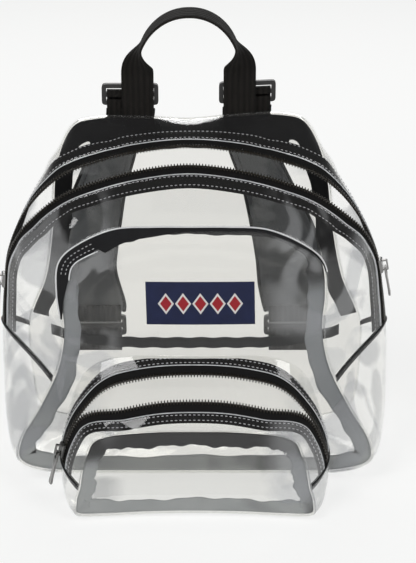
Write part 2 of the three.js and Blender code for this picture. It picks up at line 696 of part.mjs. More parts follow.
// A group standing on the zip line at a row, turned so that its x runs up the zip and its z off the bag.
function onZip(gusset, row) {
  const step = 0.1;
  const up = row > gusset.top ? -step : step;
  const place = lean(gusset.at(row, 0, SLIDER_BASE + CLEARANCE));
  const ahead = lean(gusset.at(row + up, 0, SLIDER_BASE + CLEARANCE)).sub(place).normalize();
  const out = gusset.normal(row, 0.5);
  const across = new THREE.Vector3().crossVectors(out, ahead).normalize();
  out.crossVectors(ahead, across);
  const group = new THREE.Group();
  group.applyMatrix4(new THREE.Matrix4().makeBasis(ahead, across, out).setPosition(place));
  return group;
}

function sliderAndPull(prefix, gusset, row, pullLength) {
  const group = onZip(gusset, row);
  const slider = named(`${prefix}zip_slider`, sliderGeometry(), metalLook);
  const pull = named(`${prefix}zip_pull`, pullGeometry(pullLength), metalLook);
  pull.position.set(PIVOT_X, 0, PIVOT_Z);
  group.add(slider, pull);
  return group;
}

function label() {
  const rings = [];
  const steps = 6;
  for (let i = 0; i <= steps; i += 1) {
    const x = LABEL_OFFSET + mix(-LABEL_WIDTH / 2, LABEL_WIDTH / 2, i / steps);
    const levels = [-0.5, 0, 0.5].map((share) => LABEL_LEVEL + share * LABEL_HEIGHT);
    const place = (z, depth) => lean(new THREE.Vector3(x, frontY(x, z) - depth, z));
    rings.push([
      ...levels.map((z) => place(z, CLEARANCE + LABEL_THICKNESS)),
      ...levels.reverse().map((z) => place(z, CLEARANCE)),
    ]);
  }
  const flat = [[0, 0], [0, 1], [0, 2], [1, 2], [1, 1], [1, 0]].map(([x, y]) => new THREE.Vector2(x, y));
  return named('label', sweep(rings, flat), labelLook);
}

// The seam across the back sags from each side to its lowest place in the middle.
function backSeamBand() {
  const rings = [];
  const steps = 14;
  const reach = BAND_LENGTH / 2;
  for (let i = 0; i <= steps; i += 1) {
    const x = mix(-reach, reach, i / steps);
    const middle = BAND_LEVEL + BAND_SAG * (x / reach) ** 4;
    const near = VINYL + CLEARANCE;
    const corners = [[0.5, near], [-0.5, near], [-0.5, near + TAPE], [0.5, near + TAPE]];
    rings.push(corners.map(([share, depth]) => {
      const z = middle + share * BAND_HEIGHT;
      return lean(new THREE.Vector3(x, backY(x, z) - depth, z));
    }));
  }
  return named('back_seam_band', sweep(rings, RECTANGLE), tapeLook);
}

// The haul loop: two legs that face front, a quarter turn at each neck and an arch that faces up.
function haulLoop() {
  const footZ = BAG_HEIGHT - LOOP_SEWN;
  const archZ = BAG_HEIGHT + LOOP_LEG;
  const legY = HALF_DEPTH + CLEARANCE + LOOP_WEB_THICKNESS / 2;
  const half = LOOP_SPAN / 2;
  const turnStart = archZ - LOOP_NECK;
  const legSteps = [footZ, BAG_HEIGHT, turnStart];
  const archSteps = 20;
  const places = [];
  for (const z of legSteps) places.push({ x: -half, z, slope: 90, turn: 0 });
  for (let i = 0; i <= archSteps; i += 1) {
    const angle = (Math.PI * i) / archSteps;
    const x = -half * Math.cos(angle);
    const z = archZ + LOOP_RISE * Math.sin(angle);
    const slope = THREE.MathUtils.radToDeg(Math.atan2(LOOP_RISE * Math.cos(angle), half * Math.sin(angle)));
    const fromLeg = Math.min(angle, Math.PI - angle);
    places.push({ x, z, slope, turn: 90 * smooth(-0.22, 0.42, fromLeg) });
  }
  for (const z of legSteps.reverse()) places.push({ x: half, z, slope: -90, turn: 0 });
  const rings = places.map(({ x, z, slope, turn }) => {
    const tilt = THREE.MathUtils.degToRad(slope);
    const twist = THREE.MathUtils.degToRad(turn);
    const outward = new THREE.Vector3(-Math.sin(tilt), 0, Math.cos(tilt));
    const back = new THREE.Vector3(0, 1, 0);
    const turned = (along, off) => outward.clone().multiplyScalar(along).addScaledVector(back, off);
    const across = turned(Math.cos(twist), Math.sin(twist));
    const face = turned(-Math.sin(twist), Math.cos(twist));
    const middle = new THREE.Vector3(x, legY, z);
    const corner = (a, b) => lean(middle.clone()
      .addScaledVector(across, (a * LOOP_WEB_WIDTH) / 2)
      .addScaledVector(face, (b * LOOP_WEB_THICKNESS) / 2));
    return [corner(-1, -1), corner(1, -1), corner(1, 1), corner(-1, 1)];
  });
  return named('haul_loop', sweep(rings, RECTANGLE), webbingLook);
}

// A moulded frame with three bars and two slots.
const BUCKLE_SLOT = (BUCKLE_HEIGHT - 3 * BUCKLE_BAR) / 2;
function buckle(name, middleX, middleY, footZ) {
  const half = BUCKLE_WIDTH / 2;
  const round = 3;
  const frame = new THREE.Shape();
  frame.moveTo(-half + round, 0);
  frame.lineTo(half - round, 0);
  frame.quadraticCurveTo(half, 0, half, round);
  frame.lineTo(half, BUCKLE_HEIGHT - round);
  frame.quadraticCurveTo(half, BUCKLE_HEIGHT, half - round, BUCKLE_HEIGHT);
  frame.lineTo(-half + round, BUCKLE_HEIGHT);
  frame.quadraticCurveTo(-half, BUCKLE_HEIGHT, -half, BUCKLE_HEIGHT - round);
  frame.lineTo(-half, round);
  frame.quadraticCurveTo(-half, 0, -half + round, 0);
  const slotHalf = half - BUCKLE_BAR;
  for (const foot of [BUCKLE_BAR, 2 * BUCKLE_BAR + BUCKLE_SLOT]) {
    frame.holes.push(new THREE.Path([
      new THREE.Vector2(-slotHalf, foot),
      new THREE.Vector2(-slotHalf, foot + BUCKLE_SLOT),
      new THREE.Vector2(slotHalf, foot + BUCKLE_SLOT),
      new THREE.Vector2(slotHalf, foot),
    ]));
  }
  const settings = { depth: BUCKLE_THICKNESS, bevelEnabled: false, curveSegments: 3 };
  const geometry = new THREE.ExtrudeGeometry(frame, settings);
  geometry.translate(0, 0, -BUCKLE_THICKNESS / 2);
  geometry.rotateX(Math.PI / 2);
  geometry.translate(middleX, middleY, footZ);
  const position = geometry.attributes.position;
  for (let i = 0; i < position.count; i += 1) {
    const point = lean(new THREE.Vector3().fromBufferAttribute(position, i));
    position.setXYZ(i, point.x, point.y, point.z);
  }
  return named(name, geometry, plasticLook);
}

// Where the webbing and buckles behind the back stand, from the back panel outwards
const WEB_REACH = CLEARANCE + ANCHOR_WEB_THICKNESS / 2;
const ANCHOR_Y = HALF_DEPTH + 2 * CLEARANCE + LOOP_WEB_THICKNESS + ANCHOR_WEB_THICKNESS / 2;
const BUCKLE_Y = ANCHOR_Y + WEB_REACH + BUCKLE_THICKNESS / 2;
const BUCKLE_FOOT = BAG_HEIGHT + BUCKLE_LIFT;
const FOOT_WEB_Y = backY((ADJUSTER_SPAN - ANCHOR_WEB_WIDTH) / 2, ADJUSTER_LEVEL) + WEB_REACH;
const ADJUSTER_Y = FOOT_WEB_Y + WEB_REACH + BUCKLE_THICKNESS / 2;
const ADJUSTER_FOOT = ADJUSTER_LEVEL - BUCKLE_HEIGHT / 2;
const ANCHOR_TAIL_Y = BUCKLE_Y + BUCKLE_THICKNESS / 2 + WEB_REACH;
const STRAP_TOP_Y = ANCHOR_TAIL_Y + WEB_REACH + STRAP_THICKNESS / 2;
const STRAP_FOOT_Y = ADJUSTER_Y;

// The middle of the strap at a place of its table, and how wide it is there. The left one hangs further out.
function strapPlace(place, side) {
  const height = column(STRAP_ROWS, 'height', place);
  const [top, foot] = [STRAP_ROWS[0].height, STRAP_ROWS.at(-1).height];
  const base = mix(STRAP_FOOT_Y, STRAP_TOP_Y, smooth(foot, top, height));
  const drift = side < 0 ? STRAP_DRIFT * smooth(foot, 0.5, height) * (1 - smooth(0.87, top, height)) : 0;
  return {
    x: mix(ADJUSTER_SPAN, ANCHOR_SPAN, column(STRAP_ROWS, 'inward', place)) / 2 + drift,
    y: base + STRAP_STAND_OFF * column(STRAP_ROWS, 'off', place),
    z: height * BAG_HEIGHT,
    width: STRAP_WIDTH * column(STRAP_ROWS, 'width', place),
  };
}

function shoulderStrap(name, side) {
  const rings = [];
  const steps = 20;
  const last = STRAP_ROWS.length - 1;
  const edge = 2.5;
  for (let i = 0; i <= steps; i += 1) {
    const place = (i / steps) * last;
    const { x, y, z, width } = strapPlace(place, side);
    const before = strapPlace(Math.max(place - 0.1, 0), side);
    const after = strapPlace(Math.min(place + 0.1, last), side);
    const length = Math.hypot(after.y - before.y, after.z - before.z);
    const [faceY, faceZ] = [(before.z - after.z) / length, (after.y - before.y) / length];
    const half = width / 2;
    const hexagon = [
      [-half, 0],
      [edge - half, 0.5],
      [half - edge, 0.5],
      [half, 0],
      [half - edge, -0.5],
      [edge - half, -0.5],
    ];
    rings.push(hexagon.map(([across, share]) => lean(new THREE.Vector3(
      side * (x + across),
      y + share * STRAP_THICKNESS * faceY,
      z + share * STRAP_THICKNESS * faceZ,
    ))));
  }
  const flat = [[0, 1], [1, 2], [3, 2], [4, 1], [3, 0], [1, 0]].map(([x, y]) => new THREE.Vector2(x, y));
  return named(name, sweep(rings, flat), webbingLook);
}

function carrySide(name, side) {
  const anchorX = (side * ANCHOR_SPAN) / 2;
  const adjusterX = (side * ADJUSTER_SPAN) / 2;
  const lowerBarTop = BUCKLE_FOOT + BUCKLE_BAR;
  const middleBarTop = lowerBarTop + BUCKLE_SLOT + BUCKLE_BAR;
  const anchorPath = [
    [ANCHOR_Y, BAG_HEIGHT - LOOP_SEWN],
    [ANCHOR_Y, BAG_HEIGHT],
    ...roundBar(BUCKLE_Y, lowerBarTop, BUCKLE_THICKNESS, WEB_REACH),
    [ANCHOR_TAIL_Y, BUCKLE_FOOT - ANCHOR_TAIL],
  ];
  const strapTop = strapPlace(0, side).z;
  const topWebY = STRAP_TOP_Y + STRAP_THICKNESS / 2 + WEB_REACH;
  const strapWebPath = [
    [ANCHOR_Y, middleBarTop - BUCKLE_BAR],
    ...roundBar(BUCKLE_Y, middleBarTop, BUCKLE_THICKNESS, WEB_REACH),
    [ANCHOR_TAIL_Y + 1.5, middleBarTop - BUCKLE_BAR],
    [topWebY, strapTop + 1],
    [topWebY + 0.3, strapTop - STRAP_SEWN],
  ];
  const footPath = [
    [FOOT_WEB_Y, ADJUSTER_FOOT - STRAP_SEWN],
    ...roundBar(ADJUSTER_Y, ADJUSTER_FOOT + BUCKLE_BAR, BUCKLE_THICKNESS, WEB_REACH),
    [ADJUSTER_Y + BUCKLE_THICKNESS / 2 + WEB_REACH, ADJUSTER_FOOT - FOOT_TAIL],
  ];
  const strapFoot = strapPlace(STRAP_ROWS.length - 1, side).z;
  const topBarFoot = ADJUSTER_FOOT + BUCKLE_HEIGHT - BUCKLE_BAR;
  const grip = STRAP_THICKNESS / 2 + WEB_REACH;
  const tabPath = [
    [STRAP_FOOT_Y - grip, strapFoot + STRAP_SEWN / 2],
    ...roundBar(ADJUSTER_Y, -topBarFoot, BUCKLE_THICKNESS, WEB_REACH).map(([y, z]) => [y, -z]),
    [STRAP_FOOT_Y + grip, strapFoot + STRAP_SEWN / 2],
  ];
  const web = (part, path, middleX) => (
    named(`${part}_${name}`, webbing(path, ANCHOR_WEB_WIDTH, ANCHOR_WEB_THICKNESS, middleX), webbingLook)
  );
  return [
    web('strap_anchor', anchorPath, anchorX),
    web('strap_web', strapWebPath, anchorX),
    web('strap_foot', footPath, adjusterX),
    web('strap_tab', tabPath, adjusterX),
    buckle(`strap_buckle_${name}`, anchorX, BUCKLE_Y, BUCKLE_FOOT),
    buckle(`strap_adjuster_${name}`, adjusterX, ADJUSTER_Y, ADJUSTER_FOOT),
    shoulderStrap(`shoulder_strap_${name}`, side),
  ];
}

const BAG_ZIP = {
  seamLow: 5.75,
  seamHigh: 6.25,
  openRight: 7.8,
  openLeft: 7.45,
  openOver: 1.8,
  mouth: MOUTH_GAP,
  hidden: TAPE_HIDDEN,
  stations: 36,
  lowerStations: 22,
};
const POCKET_ZIP = {
  seamLow: 5.2,
  seamHigh: 5.4,
  openRight: 7.7,
  openLeft: 7.7,
  openOver: 2.3,
  mouth: POCKET_MOUTH_GAP,
  hidden: POCKET_TAPE_HIDDEN,
  stations: 28,
  lowerStations: 18,
};
// rows up each side at which the sliders stand
const BAG_SLIDER_RIGHT = 7.6;
const BAG_SLIDER_LEFT = 7.25;
const POCKET_SLIDER = 6.1;

// The binding inside the front seam is folded thin along the top, but for its left end.
function frontBindingWidth(row) {
  const left = smooth(bag.top + 0.4, bag.top + 3, row);
  const right = smooth(bag.top - 2.8, bag.top - 4.5, row);
  return BINDING_WIDTH * mix(0.35, 1, Math.max(left, right));
}

function backBindingWidth(row) {
  const fromTop = Math.abs(row - bag.top);
  return mix(YOKE_WIDTH, BINDING_WIDTH, smooth(2.2, 3.6, fromTop));
}

const pocketBindingWidth = () => POCKET_BINDING_WIDTH;

const model = new THREE.Group();
const bindingEnd = 0.02;
const backBindingFoot = 6.05;
model.add(
  named('front_panel', panel(bag, 0, frontY, 1, BAG_ZIP, 0.42 * BAG_HEIGHT), vinylLook),
  named('back_panel', panel(bag, 1, backY, -1, BAG_ZIP, 0.45 * BAG_HEIGHT), vinylLook),
  named(
    'front_binding',
    binding(bag, 0, frontY, 1, BAG_ZIP, bindingEnd, 2 * bag.top - bindingEnd, frontBindingWidth),
    tapeLook,
  ),
  named(
    'back_binding',
    binding(bag, 1, backY, -1, BAG_ZIP, backBindingFoot, 2 * bag.top - backBindingFoot, backBindingWidth),
    tapeLook,
  ),
  backSeamBand(),
  ...zippedGusset('', bag, BAG_ZIP),
  label(),
  named('pocket_panel', panel(pocket, 0, pocketY, 1, POCKET_ZIP, 0.3 * POCKET_HEIGHT), vinylLook),
  named(
    'pocket_binding',
    binding(pocket, 0, pocketY, 1, POCKET_ZIP, bindingEnd, 2 * pocket.top - bindingEnd, pocketBindingWidth),
    tapeLook,
  ),
  ...zippedGusset('pocket_', pocket, POCKET_ZIP),
  haulLoop(),
  ...carrySide('right', 1),
  ...carrySide('left', -1),
  sliderAndPull('right_', bag, BAG_SLIDER_RIGHT, PULL_LENGTH),
  sliderAndPull('left_', bag, 2 * bag.top - BAG_SLIDER_LEFT, PULL_LENGTH),
  sliderAndPull('pocket_', pocket, 2 * pocket.top - POCKET_SLIDER, POCKET_PULL_LENGTH),
);

// The origin is the middle of the bag's box, on the floor.
const box = new THREE.Box3().setFromObject(model);
const centre = box.getCenter(new THREE.Vector3());
model.position.set(-centre.x, -centre.y, -box.min.z);

export default model;
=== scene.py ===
"""A small clear vinyl backpack with black bound seams, on a pale floor.

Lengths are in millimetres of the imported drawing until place() turns them into the frame's metres.
A gusset is read by row (0 at the middle of the floor, up the right side to the middle of the top, and
down the left side again), by the distance across the skin from the zip line (minus to the front), and
by the lift off the skin.
"""

import math

import bpy
import numpy as np
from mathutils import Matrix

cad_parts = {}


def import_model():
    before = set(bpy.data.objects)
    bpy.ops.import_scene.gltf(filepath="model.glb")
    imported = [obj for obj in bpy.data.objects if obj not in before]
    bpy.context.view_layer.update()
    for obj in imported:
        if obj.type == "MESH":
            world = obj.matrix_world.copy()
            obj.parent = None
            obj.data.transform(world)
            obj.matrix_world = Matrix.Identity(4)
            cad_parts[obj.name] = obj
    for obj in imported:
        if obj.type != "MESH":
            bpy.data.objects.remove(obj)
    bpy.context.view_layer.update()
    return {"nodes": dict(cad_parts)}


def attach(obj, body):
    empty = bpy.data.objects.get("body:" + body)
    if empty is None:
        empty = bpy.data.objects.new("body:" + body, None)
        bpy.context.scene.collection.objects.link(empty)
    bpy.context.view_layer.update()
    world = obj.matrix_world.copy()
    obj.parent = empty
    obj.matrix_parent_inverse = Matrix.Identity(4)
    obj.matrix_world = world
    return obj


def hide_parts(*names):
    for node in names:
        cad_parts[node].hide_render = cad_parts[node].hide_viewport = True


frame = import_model()

METRE = 0.001
SHIFT = np.array([1.283, 8.079, 0.0])  # from the drawing's origin to the frame's

# The bag's driving sizes
BAG_WIDTH = 304.0
BAG_HEIGHT = 268.0
BAG_DEPTH = 100.0
BAG_LEAN = 5.0
BACK_RISE = 7.0
PANEL_BELLY = 5.0
BACK_BELLY = 2.0
POCKET_WIDTH = 204.0
POCKET_HEIGHT = 113.0
POCKET_DEPTH = 52.0
POCKET_BELLY = 3.0
VINYL = 0.8
CLEARANCE = 0.35
TAPE = 0.9
TAPE_UNDER = VINYL + 0.15  # how far under the film's outside the tape lies
BINDING_WIDTH = 13.0
YOKE_WIDTH = 24.0
POCKET_BINDING_WIDTH = 10.4
TAPE_SHOWS = 9.5
TAPE_INSET = 1.5
TEETH_WIDTH = 3.2
TEETH_PITCH = 2.35
CLOSED_GAP = 0.4
HEM_RADIUS = 0.42
WELT_RADIUS = 0.95
STITCH_INSET = 2.0
SEAM_TAPE = 5.0

SIDES = (("right", 1), ("left", -1))
HALF_WIDTH = BAG_WIDTH / 2
HALF_DEPTH = BAG_DEPTH / 2

# Cross sections up the right side: x as a share of half the width and z of the height, at the front
# seam, the middle line and the back seam
COLUMNS = ("front_x", "front_z", "middle_x", "middle_z", "back_x", "back_z")
BAG_SECTIONS = np.array([
    (0.000, 0.030, 0.000, -0.011, 0.000, 0.022),
    (0.382, 0.030, 0.395, -0.011, 0.362, 0.022),
    (0.737, 0.034, 0.757, -0.007, 0.691, 0.026),
    (0.901, 0.067, 0.941, 0.037, 0.842, 0.067),
    (0.895, 0.142, 0.993, 0.142, 0.875, 0.157),
    (0.796, 0.243, 1.000, 0.261, 0.888, 0.269),
    (0.691, 0.373, 0.990, 0.399, 0.875, 0.373),
    (0.655, 0.493, 0.970, 0.534, 0.789, 0.500),
    (0.668, 0.604, 0.934, 0.660, 0.740, 0.657),
    (0.651, 0.698, 0.829, 0.769, 0.704, 0.843),
    (0.553, 0.754, 0.651, 0.858, 0.612, 0.968),
    (0.375, 0.799, 0.434, 0.907, 0.474, 1.000),
    (0.184, 0.806, 0.217, 0.937, 0.237, 1.002),
    (0.000, 0.806, 0.000, 0.950, 0.000, 0.996),
])
POCKET_SECTIONS = np.array([
    (0.000, 0.027, 0.000, -0.018, 0.000, 0.106),
    (0.353, 0.027, 0.392, -0.018, 0.373, 0.106),
    (0.667, 0.027, 0.745, -0.009, 0.725, 0.106),
    (0.873, 0.044, 0.951, 0.027, 0.922, 0.133),
    (0.892, 0.133, 1.000, 0.142, 0.971, 0.239),
    (0.863, 0.230, 1.000, 0.257, 0.980, 0.354),
    (0.843, 0.336, 0.990, 0.372, 0.971, 0.487),
    (0.804, 0.460, 0.941, 0.504, 0.922, 0.673),
    (0.755, 0.549, 0.853, 0.637, 0.843, 0.832),
    (0.647, 0.593, 0.716, 0.735, 0.716, 0.938),
    (0.471, 0.615, 0.520, 0.792, 0.529, 0.991),
    (0.235, 0.627, 0.265, 0.841, 0.265, 1.000),
    (0.000, 0.628, 0.000, 0.854, 0.000, 1.000),
])


def smooth(low, high, value):
    """0 below low, 1 above high, and the cubic 3s2 - 2s3 between them."""
    share = np.clip((value - low) / (high - low), 0, 1)
    return share * share * (3 - 2 * share)


def mix(a, b, share):
    return a + (b - a) * share


def unit(vectors):
    return vectors / np.maximum(np.linalg.norm(vectors, axis=-1, keepdims=True), 1e-9)


def run_lengths(line):
    """How far each point of a line lies from its first one, along the line."""
    return np.concatenate([[0], np.cumsum(np.linalg.norm(np.diff(line, axis=0), axis=1))])


def catmull_rom(values, place, sign=1.0):
    """The Catmull-Rom curve through values at whole places; past each end they are mirrored, times a sign."""
    padded = np.concatenate([sign * values[2:0:-1], values, sign * values[-2:-4:-1]])
    cell = np.minimum(np.floor(place).astype(int), len(values) - 2)
    part = place - cell
    a, b, c, d = (padded[cell + 1 + k] for k in range(4))
    return b + 0.5 * part * (c - a + part * (2 * a - 5 * b + 4 * c - d + part * (3 * (b - c) + d - a)))


def ridges(a, b, folds, fade_from, stretch=1.0):
    """The lift of soft folds over two coordinates: each is a bell across a line, fading towards its ends."""
    lift = np.zeros(np.broadcast(a, b).shape)
    for a0, b0, a1, b1, width, height in folds:
        run = np.array([a1 - a0, stretch * (b1 - b0)])
        along = ((a - a0) * run[0] + stretch * (b - b0) * run[1]) / run.dot(run)
        off = ((a - a0) * run[1] - stretch * (b - b0) * run[0]) / np.hypot(*run)
        fade = smooth(0, 0.3, along) * smooth(1, fade_from, along)
        lift = lift + height * fade * np.exp(-((off / width) ** 2))
    return lift


def lean(points):
    """The bag leans to the left with the square of the height, and its back is pulled up on the right."""
    x, y, z = points[..., 0], points[..., 1], points[..., 2]
    level = np.clip(z / BAG_HEIGHT, 0, 1)
    rise = BACK_RISE * np.clip(x / HALF_WIDTH, 0, 1) * level**6 * np.clip(y / HALF_DEPTH, 0, 1)
    return np.stack([x - BAG_LEAN * level**2, y, z + rise], axis=-1)


def front_y(x, z):
    """The front panel's belly: a parabola across times a parabola up."""
    across = np.clip(1 - (x / (0.66 * HALF_WIDTH)) ** 2, 0, 1)
    up = np.clip(1 - ((z / BAG_HEIGHT - 0.42) / 0.38) ** 2, 0, 1)
    return -HALF_DEPTH - PANEL_BELLY * across * up


def back_y(x, z):
    """The back panel's belly, as the front's."""
    across = np.clip(1 - (x / (0.7 * HALF_WIDTH)) ** 2, 0, 1)
    up = np.clip(1 - ((z / BAG_HEIGHT - 0.5) / 0.4) ** 2, 0, 1)
    return HALF_DEPTH + BACK_BELLY * across * up


def pocket_y(x, z):
    """The pocket's face: it kicks forward at its foot, most at the corners."""
    low = np.clip(1 - z / (0.62 * POCKET_HEIGHT), 0, 1)
    side = (x / (POCKET_WIDTH / 2)) ** 2
    belly = POCKET_BELLY * np.clip(1 - side * 1.6, 0, 1) * np.clip(4 * low * (1 - low), 0, 1)
    return -HALF_DEPTH - POCKET_DEPTH * (0.94 + 0.08 * low + 0.2 * low * side) - belly


def pocket_back_y(x, z):
    return front_y(x, z) - CLEARANCE - 0.8


class Gusset:
    """A skin from a front seam to a back seam: at each row a parabola through three rails."""

    STEPS = 48

    def __init__(self, sections, half_width, height, front, back):
        self.sections = sections
        self.half_width = half_width
        self.height = height
        self.front = front
        self.back = back
        self.top = len(sections) - 1
        self.folds = ()

    def column(self, name, place):
        """The curve through a column; past each end a height is mirrored, and an x changes its sign."""
        values = self.sections[:, COLUMNS.index(name)]
        return catmull_rom(values, place, -1.0 if name.endswith("x") else 1.0)

    def skin(self, row, share):
        """Points at a row and at a share of the way from the front seam to the back seam."""
        row, share = np.broadcast_arrays(row, share)
        side = np.where((row > self.top) | (row < 0), -1.0, 1.0)
        place = np.where(row > self.top, 2 * self.top - row, np.abs(row))
        x = {}
        z = {}
        for line in ("front", "middle", "back"):
            x[line] = side * self.half_width * self.column(line + "_x", place)
            z[line] = self.height * self.column(line + "_z", place)
        swell = 4 * share * (1 - share)
        points = np.stack([
            mix(x["front"], x["back"], share) + swell * (x["middle"] - (x["front"] + x["back"]) / 2),
            mix(self.front(x["front"], z["front"]), self.back(x["back"], z["back"]), share),
            mix(z["front"], z["back"], share) + swell * (z["middle"] - (z["front"] + z["back"]) / 2),
        ], axis=-1)
        points[..., 2] = np.maximum(points[..., 2], 0)
        return points

    def normal(self, row, share):
        """The cross product of the skin's two directions, from differences either way."""
        step = 0.02
        along = self.skin(row + step, share) - self.skin(row - step, share)
        low, high = np.maximum(share - step, 0), np.minimum(share + step, 1)
        return -unit(np.cross(along, self.skin(row, high) - self.skin(row, low)))

    def lengths(self, row):
        """Distances from the zip line at even shares across the skin, for each row."""
        shares = np.linspace(0, 1, self.STEPS + 1)
        line = self.skin(np.asarray(row, float)[..., None], shares)
        pieces = np.linalg.norm(np.diff(line, axis=-2), axis=-1)
        total = np.concatenate([np.zeros(pieces.shape[:-1] + (1,)), np.cumsum(pieces, axis=-1)], axis=-1)
        return total - total[..., self.STEPS // 2, None]

    def edge(self, side, row):
        """How far the seam on a side lies from the zip line: side -1 is the front, 1 the back."""
        return side * self.lengths(row)[..., 0 if side < 0 else -1]

    def share_at(self, row, distance):
        """The share across at a distance, by interpolation in the table of lengths."""
        row, distance = np.broadcast_arrays(np.asarray(row, float), distance)
        table = self.lengths(row)
        index = np.clip((table < distance[..., None]).sum(-1), 1, self.STEPS)
        low = np.take_along_axis(table, index[..., None] - 1, -1)[..., 0]
        high = np.take_along_axis(table, index[..., None], -1)[..., 0]
        share = (index - 1 + (distance - low) / np.maximum(high - low, 1e-9)) / self.STEPS
        return np.clip(share, 0, 1)

    def crease(self, row, share):
        """The lift of the soft folds, which are flat again at both seams."""
        from_seam = np.clip(np.minimum(share, 1 - share) * 6, 0, 1)
        return ridges(row, share, self.folds, 0.6, 3) * from_seam

    def at(self, row, distance, lift=0.0):
        """Points at a row and a distance from the zip line, lifted off the skin and its folds, and leaned."""
        share = self.share_at(row, distance)
        row = np.broadcast_to(row, share.shape)
        total = np.asarray(lift + self.crease(row, share))
        return lean(self.skin(row, share) + self.normal(row, share) * total[..., None])


bag = Gusset(BAG_SECTIONS, HALF_WIDTH, BAG_HEIGHT, front_y, back_y)
pocket = Gusset(POCKET_SECTIONS, POCKET_WIDTH / 2, POCKET_HEIGHT, pocket_y, pocket_back_y)


class Zip:
    """Where a bag's zip and seams run, in rows of its gusset."""

    def __init__(self, gusset, seam_low, seam_high, open_right, open_left, open_over, mouth, hidden):
        self.gusset = gusset
        self.seam_low = seam_low
        self.seam_high = seam_high
        self.open_right = open_right
        self.open_left = open_left
        self.open_over = open_over
        self.mouth = mouth
        self.hidden = hidden
        self.round = 2 * gusset.top
        self.front_edge = float(gusset.edge(-1, seam_low))
        self.back_edge = float(gusset.edge(1, seam_low))

    def seam_row(self, distance):
        """The side seam's row: highest at the zip, falling with the square of the distance from it."""
        edge = np.where(distance < 0, self.front_edge, self.back_edge)
        return mix(self.seam_low, self.seam_high, 1 - np.clip(np.abs(distance) / edge, 0, 1) ** 2)

    def half_gap(self, row):
        """Half the mouth: closed at its two ends and opening smoothly over a few rows."""
        inside = np.minimum(row - self.open_right, self.round - self.open_left - row)
        return mix(CLOSED_GAP, self.mouth, smooth(0, self.open_over, inside)) / 2

    def upper_rows(self, count, distance):
        """Rows of the upper strips, whose ends follow the side seams."""
        start = self.seam_row(distance)
        part = np.linspace(0, 1, count)[:, None]
        return mix(start, self.round - start, part)


bag_zip = Zip(bag, 5.75, 6.25, 7.8, 7.45, 1.8, 17.0, 12.0)
pocket_zip = Zip(pocket, 5.2, 5.4, 7.7, 7.7, 2.3, 19.0, 8.0)


def place(points):
    """From the drawing's millimetres to the frame's metres."""
    return (points + SHIFT) * METRE


def quads(grid):
    return np.stack([grid[:-1, :-1], grid[1:, :-1], grid[1:, 1:], grid[:-1, 1:]], -1).reshape(-1, 4)


def sheet_faces(rows, columns, wrap=False):
    """Faces of a closed sheet: an outer grid, an inner grid turned round, and walls along open edges."""
    count = rows * columns
    grid = np.arange(count).reshape(rows, columns)
    if wrap:
        grid = np.vstack([grid, grid[:1]])
    edges = [grid[::-1, 0], grid[:, -1]]
    if not wrap:
        edges += [grid[0, :], grid[-1, ::-1]]
    walls = [np.stack([e[:-1], e[1:], e[1:] + count, e[:-1] + count], -1) for e in edges]
    return np.concatenate([quads(grid), quads(grid)[:, ::-1] + count, *walls])


def tube_faces(rings, sides, wrap=False):
    """Faces of a tube of rings; an open one is closed by a fan to a point at each end."""
    grid = np.arange(rings * sides).reshape(rings, sides)
    grid = np.hstack([grid, grid[:, :1]])
    if wrap:
        return quads(np.vstack([grid, grid[:1]])).tolist()
    start, end = rings * sides, rings * sides + 1
    fans = [(grid[0, j], grid[0, j + 1], start) for j in range(sides)]
    fans += [(grid[-1, j + 1], grid[-1, j], end) for j in range(sides)]
    return quads(grid).tolist() + fans


def signed_volume(points, faces):
    """Six times the volume under the faces, each as two triangles; a triangle's last corner counts twice."""
    corners = np.array([(*face, face[-1])[:4] for face in faces])
    a, b, c, d = (points[corners[:, k]] for k in range(4))
    return np.sum(a * (np.cross(b, c) + np.cross(c, d)))


def piece(name, points, faces, material, nodes=(), uv=None):
    """A finished mesh piece that rides on the bag and stands for CAD nodes."""
    points = place(np.asarray(points, float).reshape(-1, 3))
    faces = [tuple(int(i) for i in face) for face in faces]
    if signed_volume(points - points.mean(0), faces) < 0:
        faces = [face[::-1] for face in faces]
    mesh = bpy.data.meshes.new(name)
    mesh.from_pydata(points.tolist(), [], faces)
    mesh.shade_smooth()
    if uv is not None:
        layer = mesh.uv_layers.new(name="UVMap")
        index = np.empty(len(mesh.loops), dtype=np.int32)
        mesh.loops.foreach_get("vertex_index", index)
        layer.data.foreach_set("uv", np.asarray(uv, np.float32).reshape(-1, 2)[index].ravel())
    mesh.materials.append(material)
    made = bpy.data.objects.new(name, mesh)
    bpy.context.collection.objects.link(made)
    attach(made, "bag")
    if nodes:
        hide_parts(*nodes)
    return made


def slab(name, outer, inner, u, v, material, nodes=(), wrap=False):
    """A closed sheet between two grids of the same size, with the same UV, in millimetres, on both."""
    uv = np.stack(np.broadcast_arrays(u, v), -1).reshape(-1, 2)
    points = np.concatenate([outer.reshape(-1, 3), inner.reshape(-1, 3)])
    faces = sheet_faces(*outer.shape[:2], wrap)
    return piece(name, points, faces, material, nodes, np.concatenate([uv, uv]))


def tube(name, grid, ends, u, v, material, nodes=()):
    """A closed tube of rings between two end points, with its UV in millimetres."""
    uv = np.stack(np.broadcast_arrays(u, v), -1).reshape(-1, 2)
    points = lean(np.concatenate([grid.reshape(-1, 3), ends]))
    faces = tube_faces(*grid.shape[:2])
    return piece(name, points, faces, material, nodes, np.concatenate([uv, uv[:1], uv[-1:]]))


def resample(points, spacing, *others):
    """Even steps along a path, by linear interpolation over its length; other rows go with it."""
    lengths = run_lengths(points)
    count = max(int(lengths[-1] / spacing), 2)
    places = (np.arange(count) + 0.5) * lengths[-1] / count
    return [
        np.stack([np.interp(places, lengths, values[:, k]) for k in range(3)], -1)
        for values in (points, *others)
    ]


